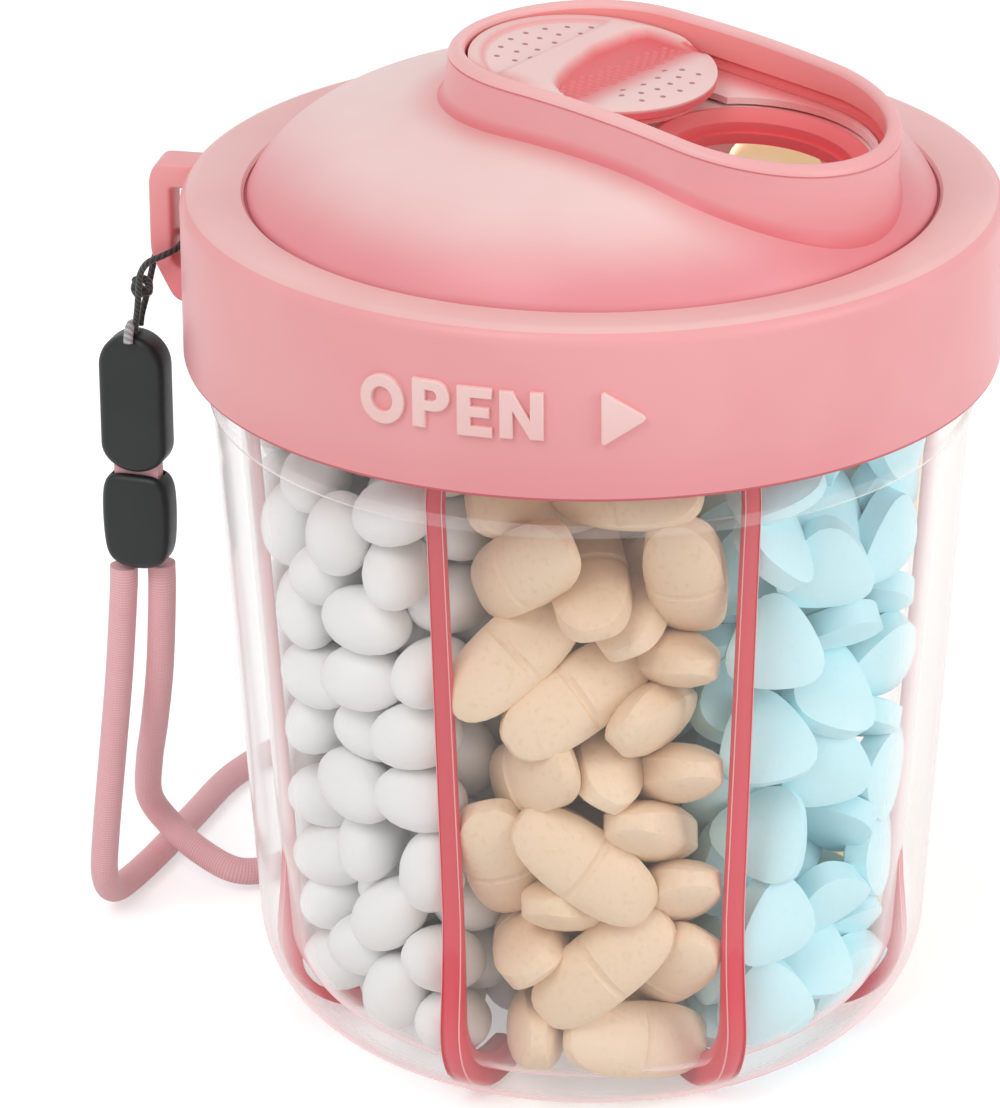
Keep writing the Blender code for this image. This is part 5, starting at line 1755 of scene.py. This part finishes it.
SHIELDS_SEEN = [
    (831, 562, 90, 84, 10, 2.8), (777, 645, 90, 100, 0, 2.6), (887, 531, 90, 95, 50, 3.2),
    (775, 541, 90, 80, 50, 5.5), (891, 593, 0, 90, 72, 3.6), (840, 627, 0, 62, 72, 4.6),
    (889, 660, 60, 90, 55, 3.6), (838, 692, 90, 90, 30, 3.6), (869, 718, -8, 92, 72, 4.6),
    (768, 743, 100, 98, 0, 2.6), (824, 764, 90, 90, 20, 4.6), (884, 764, 70, 90, 60, 3.6),
    (732, 573, 90, 90, 20, 4.0), (829, 517, 80, 90, 20, 5.0), (905, 492, 80, 90, 60, 4.0),
    (769, 836, 180, 95, 10, 2.6), (838, 828, 0, 84, 55, 4.0), (829, 890, 20, 84, 60, 4.0),
    (773, 917, 90, 90, 38, 3.0), (823, 962, 90, 92, 8, 2.8), (764, 1001, 100, 90, 10, 3.0),
    (890, 857, 80, 90, 60, 4.0), (877, 931, 40, 90, 60, 4.0), (712, 998, 120, 90, 20, 3.0),
    (724, 866, 100, 90, 30, 3.0), (728, 700, 90, 90, 30, 3.5), (700, 480, 90, 90, 30, 4.0),
    (870, 985, 30, 90, 60, 5.0),
]
HUB_RADIUS = 0.0036
SIDE_ROOM = 0.0020
FLOOR_ROOM = 0.0030
WALL_CLEARANCE = 0.0004
SECTOR = math.tau / VANES
PIXELS_TO_METRES = 0.0001
SIGHT_START = 0.50
SIGHT_END = 0.76
SIGHT_STEP = 0.0001
NECK_START = BODY_TOP_HEIGHT - 0.002


def vane_normals(sector):
    """Unit vectors that point into a compartment from its two vanes."""
    first = FIRST_VANE + SECTOR * sector
    second = first + SECTOR
    return np.array([(-math.sin(first), math.cos(first), 0), (math.sin(second), -math.cos(second), 0)])


def inner_limit(heights):
    """The inside radius at each height, from the floor's rounded corner up to the neck."""
    return np.where(heights > NECK_START, neck_inside, inner_wall_radius(heights)) - WALL_CLEARANCE


def place_in(sector, x, y, behind):
    """The first point on a pixel's line of sight that lies in a compartment."""
    steps = np.arange(SIGHT_START, SIGHT_END, SIGHT_STEP)
    line = np.array(camera.location)[None, :] + steps[:, None] * np.array(sight_line(x, y))[None, :]
    depth = inner_limit(line[:, 2]) - np.hypot(line[:, 0], line[:, 1]) - behind
    sides = (line @ vane_normals(sector).T).min(axis=1) - SIDE_ROOM
    floor_room = line[:, 2] - CUP_WALL - FLOOR_ROOM
    room = np.minimum(np.minimum(depth, sides), floor_room)
    inside = np.nonzero(room > 0)[0]
    return line[inside[0]] if len(inside) else line[room.argmax()]


def turn_matrix(lean, dive, roll):
    """A tablet's axes in the world, from its lean, dive and roll as the camera sees them."""
    seen = Matrix.Rotation(lean, 3, "Z") @ Matrix.Rotation(dive, 3, "Y") @ Matrix.Rotation(roll, 3, "X")
    return np.array(camera.rotation_quaternion.to_matrix() @ seen)


def seen_tablets(rows, sector, full_length):
    """Where each listed tablet starts, how it is turned, and the line of sight that it stays on."""
    places = []
    turns = []
    for index, (x, y, lean, length, roll, behind) in enumerate(rows):
        share = min(1.0, length * PIXELS_TO_METRES / full_length)
        dive = math.acos(share) * (1 if index % 2 else -1)
        places.append(place_in(sector, x, y, behind / 1000))
        turns.append(turn_matrix(math.radians(lean), dive, math.radians(roll)))
    aims = np.array([sight_line(row[0], row[1]) for row in rows])
    return np.array(places), np.array(turns), aims


print("Tablets listed:", len(OVALS_SEEN), len(CAPLETS_SEEN), len(SHIELDS_SEEN))

# %% [markdown]
# ## Letting them settle
#
# Tablets may not pass through each other or the cup. Blender's rigid bodies would shuffle them
# away from where the photograph shows them, so each tablet is a short row of balls instead, and a
# few hundred small corrections push overlapping balls apart. The ones in view are drawn back
# towards their places; the fillers sink and turn freely.

# %% Turning and pushing
GYRATION = 0.0030
NO_LENGTH = 1e-6


def placed(points, places, turns):
    """The points of one kind, in the place and the turn of every tablet."""
    return places[:, None, :] + np.einsum("nij,kj->nki", turns, points)


def squared(matrices):
    """The rotation nearest to each matrix."""
    left, _, right = np.linalg.svd(matrices)
    return left @ right


def spin(turns, vectors):
    """Turns each tablet by a small rotation vector."""
    x, y, z = vectors[:, 0], vectors[:, 1], vectors[:, 2]
    zero = np.zeros_like(x)
    cross = np.array([[zero, -z, y], [z, zero, -x], [-y, x, zero]]).transpose(2, 0, 1)
    return squared(turns + cross @ turns)


def twist_of(arm, push):
    """The small rotation that a push gives a tablet when it acts at the end of this arm."""
    lever = (arm ** 2).sum(axis=1) + GYRATION ** 2
    return np.cross(arm, push) / lever[:, None]


def wall_pushes(balls, radii, sector):
    """For each ball, the deepest push that the cup, the vanes, the hub or the floor gives it."""
    away = np.maximum(np.hypot(balls[..., 0], balls[..., 1]), NO_LENGTH)
    outwards = np.stack([balls[..., 0] / away, balls[..., 1] / away, np.zeros_like(away)], axis=-1)
    pushes = [-outwards * np.maximum(away + radii - inner_limit(balls[..., 2]), 0)[..., None]]
    pushes.append(outwards * np.maximum(HUB_RADIUS + radii - away, 0)[..., None])
    for normal in vane_normals(sector):
        pushes.append(normal * np.maximum(radii - balls @ normal, 0)[..., None])
    below = np.minimum(balls[..., 2] - BASE_CORNER, 0)
    beyond = np.maximum(away - BASE_FLAT, 0) * (below < 0)
    reach = np.maximum(np.hypot(below, beyond), NO_LENGTH)
    over = np.maximum(reach + radii - (BASE_CORNER - CUP_WALL), 0) * (below < 0)
    corner = -outwards * (beyond / reach * over)[..., None]
    corner[..., 2] -= below / reach * over
    pushes.append(corner)
    return np.array(pushes)


# %% Settling
ROUNDS = 340
LEVEL_ROUNDS = 60
FREE_ROUNDS = 16
SINK_STEP = 0.00006
ASIDE_PULL = 0.20
ALONG_PULL = 0.01
TURN_PULL = 0.10
APART_SHARE = 0.42
WALL_SHARE = 0.9
WALL_TWIST = 0.6
HELD_TWIST = 0.3
MOST_TWIST = 0.3


def settle(kind, places, turns, sector, aims):
    """Pushes tablets apart and inwards. The listed ones, which come first, are drawn back to their
    lines of sight, and may slide along them. The fillers sink until the last rounds."""
    held = len(aims)
    local, radii = kind[1]
    homes = places[:held].copy()
    home_turns = turns[:held].copy()
    bound = 2 * (np.linalg.norm(local, axis=1) + radii).max()
    first, second = np.triu_indices(len(places), 1)
    both = radii[:, None] + radii[None, :]
    for rounds_left in range(ROUNDS, 0, -1):
        if rounds_left > LEVEL_ROUNDS:
            places[held:, 2] -= SINK_STEP
        if rounds_left > FREE_ROUNDS:
            back_home = homes - places[:held]
            along = (back_home * aims).sum(axis=1)[:, None] * aims
            places[:held] += (back_home - along) * ASIDE_PULL + along * ALONG_PULL
            turns[:held] = squared(turns[:held] + (home_turns - turns[:held]) * TURN_PULL)
        balls = placed(local, places, turns)
        near = np.linalg.norm(places[first] - places[second], axis=1) < bound
        one, other = first[near], second[near]
        gap = balls[one][:, :, None, :] - balls[other][:, None, :, :]
        away = np.maximum(np.linalg.norm(gap, axis=-1), NO_LENGTH)
        over = both - away
        flat = over.reshape(len(one), -1)
        best = flat.argmax(axis=1)
        index = np.arange(len(one))
        deep = np.maximum(flat[index, best], 0)
        a, b = best // len(radii), best % len(radii)
        push = gap[index, a, b] / away[index, a, b][:, None] * (deep * APART_SHARE)[:, None]
        moves = np.zeros_like(places)
        twists = np.zeros_like(places)
        for who, ball, way in ((one, balls[one, a], push), (other, balls[other, b], -push)):
            np.add.at(moves, who, way)
            np.add.at(twists, who, twist_of(ball - places[who], way))
        every = np.arange(len(places))
        for ways in wall_pushes(balls, radii, sector):
            worst = np.linalg.norm(ways, axis=-1).argmax(axis=1)
            way = ways[every, worst]
            moves += way * WALL_SHARE
            twists += twist_of(balls[every, worst] - places, way) * WALL_TWIST
        places += moves
        twists[:held] *= HELD_TWIST
        turns = spin(turns, np.clip(twists, -MOST_TWIST, MOST_TWIST))
    left_over = np.maximum(over, 0).max() if len(one) else 0.0
    return places, turns, left_over


# %% Fillers and heaps
FILL_FOOT = 0.006
FILL_NEAR = 0.009
FILL_FAR = 0.0245
FILL_FAR_HIGH = 0.033
FILL_HIGH = 0.072
FILL_WIDTH = 0.8
CLOSER_EACH_TIME = 0.97
TIMES_APART = 8
CLOSER_WHEN_FULL = 0.9995
TABLET_CRISP_ANGLE = math.radians(30)


def add_fillers(places, turns, sector, count, clear, top, seed):
    """Seeded tablets in the room that the listed ones leave: behind them and above the view."""
    chance = np.random.default_rng(seed)
    middle = FIRST_VANE + SECTOR * (sector + 0.5)
    spots = []
    while len(spots) < count:
        angle = middle + (chance.random() - 0.5) * SECTOR * FILL_WIDTH
        height = FILL_FOOT + (top - FILL_FOOT) * chance.random()
        limit = FILL_FAR_HIGH if height > FILL_HIGH else FILL_FAR
        radius = FILL_NEAR + (limit - FILL_NEAR) * math.sqrt(chance.random())
        spot = np.array(polar(radius, angle, height))
        taken = np.array(spots + list(places))
        apart = clear * CLOSER_EACH_TIME ** (len(spots) / TIMES_APART)
        if np.linalg.norm(taken - spot, axis=1).min() > apart:
            spots.append(spot)
        else:
            clear *= CLOSER_WHEN_FULL
    fresh = squared(chance.normal(size=(count, 3, 3)))
    fresh[np.linalg.det(fresh) < 0] *= -1
    return np.concatenate([places, spots]), np.concatenate([turns, fresh])


def tablet_heap(name, kind, places, turns, material, seed, turn):
    """All the tablets of one compartment as one piece, each with a shade of its own."""
    points, faces = kind[0]
    shades = np.random.default_rng(seed).random(len(places))
    every = [tuple(corner + index * len(points) for corner in face)
             for index in range(len(places)) for face in faces]
    mesh = bpy.data.meshes.new(name)
    mesh.from_pydata(placed(points, places, turns).reshape(-1, 3).tolist(), [], every)
    shade = mesh.attributes.new("tablet_shade", "FLOAT", "POINT")
    shade.data.foreach_set("value", np.repeat(shades, len(points)).astype(np.float32))
    if turn:
        mesh.transform(Matrix.Rotation(turn, 4, "Z"))
    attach(add_piece(name, crisp(mesh, TABLET_CRISP_ANGLE), material), "cup")


# %% Tablet finishes
TABLET_GLOSS = 1.42
TABLET_BUMP_DEPTH = 0.00004


def make_tablet(name, colour, speck, amount, bump, glow=0.0):
    """Pressed powder in its own colour. A glow stands for light that a bright lid throws on it."""
    material, tree, shader = new_material(name, IOR=TABLET_GLOSS, Emission_Strength=glow)
    powder = place_group(tree, pressed_powder, Colour=paint(*colour), Speck_Colour=paint(*speck),
                         Speck_Amount=amount, Tablet_Shade=read_attribute(tree, "tablet_shade"))
    link_surface(tree, shader, powder, bump, TABLET_BUMP_DEPTH)
    if glow:
        tree.links.new(powder["Colour"], shader.inputs["Emission Color"])
    return material


oval_white = make_tablet("tablet white", (244, 243, 241), (235, 235, 234), 0.3, 0.1)
caplet_tan = make_tablet("tablet tan", (239, 213, 184), (223, 190, 154), 0.35, 0.2)
shield_blue = make_tablet("tablet blue", (214, 250, 255), (190, 240, 250), 0.25, 0.2)
oval_cream = make_tablet("tablet cream", (250, 244, 214), (240, 228, 184), 0.3, 0.2)
oval_in_hole = make_tablet("tablet under the hole", (246, 238, 190), (234, 222, 160), 0.3, 0.2, glow=0.44)
print("Finishes in all:", len(bpy.data.materials))

# %% Fill the compartments
TAN_SECTOR = 0
BLUE_SECTOR = 1
WHITE_SECTOR = 6
CREAM_SECTOR = 2
SHIELD_LENGTH = 0.0100
HEAP_TOP = 0.083
heaps = {}
for name, kind, rows, sector, length, fillers, clear in (
        ("caplets", CAPLET, CAPLETS_SEEN, TAN_SECTOR, CAPLET_LENGTH, 15, 0.0075),
        ("shields", SHIELD, SHIELDS_SEEN, BLUE_SECTOR, SHIELD_LENGTH, 54, 0.0062),
        ("ovals", OVAL, OVALS_SEEN, WHITE_SECTOR, OVAL_SIZE[0], 60, 0.0070)):
    places, turns, aims = seen_tablets(rows, sector, length)
    held = len(places)
    places, turns = add_fillers(places, turns, sector, fillers, clear, HEAP_TOP, 7 + sector)
    start = places[:held].copy()
    places, turns, left_over = settle(kind, places, turns, sector, aims)
    drift = places[:held] - start
    aside = np.linalg.norm(drift - (drift * aims).sum(axis=1)[:, None] * aims, axis=1)
    heaps[name] = (kind, places, turns)
    print(name, len(places), "overlap in mm:", round(1000 * left_over, 2),
          "moved aside in mm:", round(1000 * aside.mean(), 2), round(1000 * aside.max(), 2))

# %% The cream tablet under the hole
CREAM_PIXEL = (776, 168)
CREAM_HEIGHT = 0.0915
CREAM_BELOW = 0.0072
CREAM_LEAN = math.radians(-14)
CREAM_DIVE = 0.3
CREAM_ROLL = math.radians(70)
CREAM_FILLERS = 22
CREAM_CLEAR = 0.0080
CREAM_TOP = 0.0890
CREAM_SEED = 31
cream_aim = sight_line(*CREAM_PIXEL)
cream_place = camera.location + cream_aim * ((CREAM_HEIGHT - camera.location.z) / cream_aim.z)
cream_turn = turn_matrix(CREAM_LEAN, CREAM_DIVE, CREAM_ROLL)
under_it = np.array(cream_place) - np.array([0, 0, CREAM_BELOW])
places, turns = add_fillers(np.array([cream_place, under_it]), np.array([cream_turn, cream_turn]),
                            CREAM_SECTOR, CREAM_FILLERS, CREAM_CLEAR, CREAM_TOP, CREAM_SEED)
places, turns, left_over = settle(CAPLET, places, turns, CREAM_SECTOR, np.array([cream_aim]))
heaps["cream"] = (CAPLET, places[1:], turns[1:])
heaps["in_hole"] = (OVAL, places[:1], turns[:1])
print("Cream tablet at mm:", (1000 * places[0]).round(1), "overlap in mm:", round(1000 * left_over, 2))

# %% Heaps in front and behind
for name, heap, material, seed, sectors_on in (
        ("tablets_tan", "caplets", caplet_tan, 1, 0),
        ("tablets_blue", "shields", shield_blue, 2, 0),
        ("tablets_white", "ovals", oval_white, 3, 0),
        ("tablets_cream", "cream", oval_cream, 4, 0),
        ("tablet_in_hole", "in_hole", oval_in_hole, 8, 0),
        ("tablets_tan_rear", "caplets", caplet_tan, 5, 3 - TAN_SECTOR),
        ("tablets_blue_rear", "shields", shield_blue, 6, 4 - BLUE_SECTOR),
        ("tablets_white_rear", "ovals", oval_white, 7, 5 - WHITE_SECTOR)):
    tablet_heap(name, *heaps[heap], material, seed, sectors_on * SECTOR)
print("Tablets in front:", {name: len(heap[1]) for name, heap in heaps.items()})

# %% [markdown]
# ## Floor, world and light
#
# The photograph is a plain cut-out on white, lit softly from all round with a little more light
# from the upper left. A pale floor, a pale world and two broad area lamps do that. The floor and
# the world look pure white to the camera, and to whatever reflects or refracts them. A weak lamp
# inside the lid brightens the hole. A view across the cup passes many clear films, so light may
# go through 32 of them.

# %% Floor and world
WHITE_SHARE = 0.62
FLOOR_GLOW = 0.45
FLOOR_HALF = 2
FLOOR_TOP = -0.0001
FLOOR_BOTTOM = -0.02
PURE_WHITE = (1, 1, 1, 1)


def direct_look(tree):
    """1 for rays that look, reflect or refract, and 0 for rays that only carry light."""
    rays = tree.nodes.new("ShaderNodeLightPath").outputs
    seen = add_math(tree, "MAXIMUM", rays["Is Camera Ray"], rays["Is Glossy Ray"])
    return add_math(tree, "MAXIMUM", seen, rays["Is Transmission Ray"])


floor_corners = [(-FLOOR_HALF, -FLOOR_HALF), (FLOOR_HALF, -FLOOR_HALF), (FLOOR_HALF, FLOOR_HALF),
                 (-FLOOR_HALF, FLOOR_HALF)]
floor_rings = [[(x, y, height) for x, y in floor_corners] for height in (FLOOR_TOP, FLOOR_BOTTOM)]
floor_white, tree, shader = new_material("floor white", Roughness=0.9, Specular_IOR_Level=0.1,
                                         Emission_Color=PURE_WHITE)
surface = place_group(tree, moulded_plastic, Colour=(0.86, 0.86, 0.86, 1), Drift_Colour=(0.85, 0.85, 0.85, 1),
                      Drift_Scale=3.0, Grain_Scale=300.0, Roughness=0.9)
tree.links.new(surface["Colour"], shader.inputs["Base Color"])
tree.links.new(times(tree, direct_look(tree), FLOOR_GLOW), shader.inputs["Emission Strength"])
floor = add_piece("floor", skin("floor", floor_rings, capped=True), floor_white)

world = bpy.data.worlds.new("studio")
bpy.context.scene.world = world
world.use_nodes = True
tree = world.node_tree
background = tree.nodes["Background"]
background.inputs["Color"].default_value = PURE_WHITE
extra = times(tree, direct_look(tree), 1 - WHITE_SHARE)
tree.links.new(plus(tree, extra, WHITE_SHARE), background.inputs["Strength"])
print("Light from all round:", WHITE_SHARE)

# %% Lamps
CLEAR_LAYERS = 32
LID_LAMP_PLACE = (0.006, 0.014, 0.0965)
LID_LAMP_POWER = 0.006
LID_LAMP_SIZE = 0.003


def add_lamp(name, kind, place, power):
    lamp = bpy.data.objects.new(name, bpy.data.lights.new(name, kind))
    bpy.context.scene.collection.objects.link(lamp)
    lamp.location = place
    lamp.data.energy = power
    return lamp


for name, place, target, size, power in (
        ("key lamp", (-0.30, -0.42, 0.62), (0, 0, 0.06), 0.42, 1.65),
        ("side lamp", (0.55, -0.25, 0.30), (0, 0, 0.05), 0.35, 1.1)):
    lamp = add_lamp(name, "AREA", place, power)
    lamp.data.shape = "DISK"
    lamp.data.size = size
    lamp.rotation_mode = "QUATERNION"
    lamp.rotation_quaternion = (Vector(target) - Vector(place)).to_track_quat("-Z", "Y")
lid_lamp = add_lamp("lid lamp", "POINT", LID_LAMP_PLACE, LID_LAMP_POWER)
lid_lamp.data.shadow_soft_size = LID_LAMP_SIZE
lid_lamp.visible_camera = False
scene = bpy.context.scene
scene.view_settings.view_transform = "Standard"
scene.cycles.transparent_max_bounces = CLEAR_LAYERS
print("Lamps:", [lamp.name for lamp in bpy.data.lights])
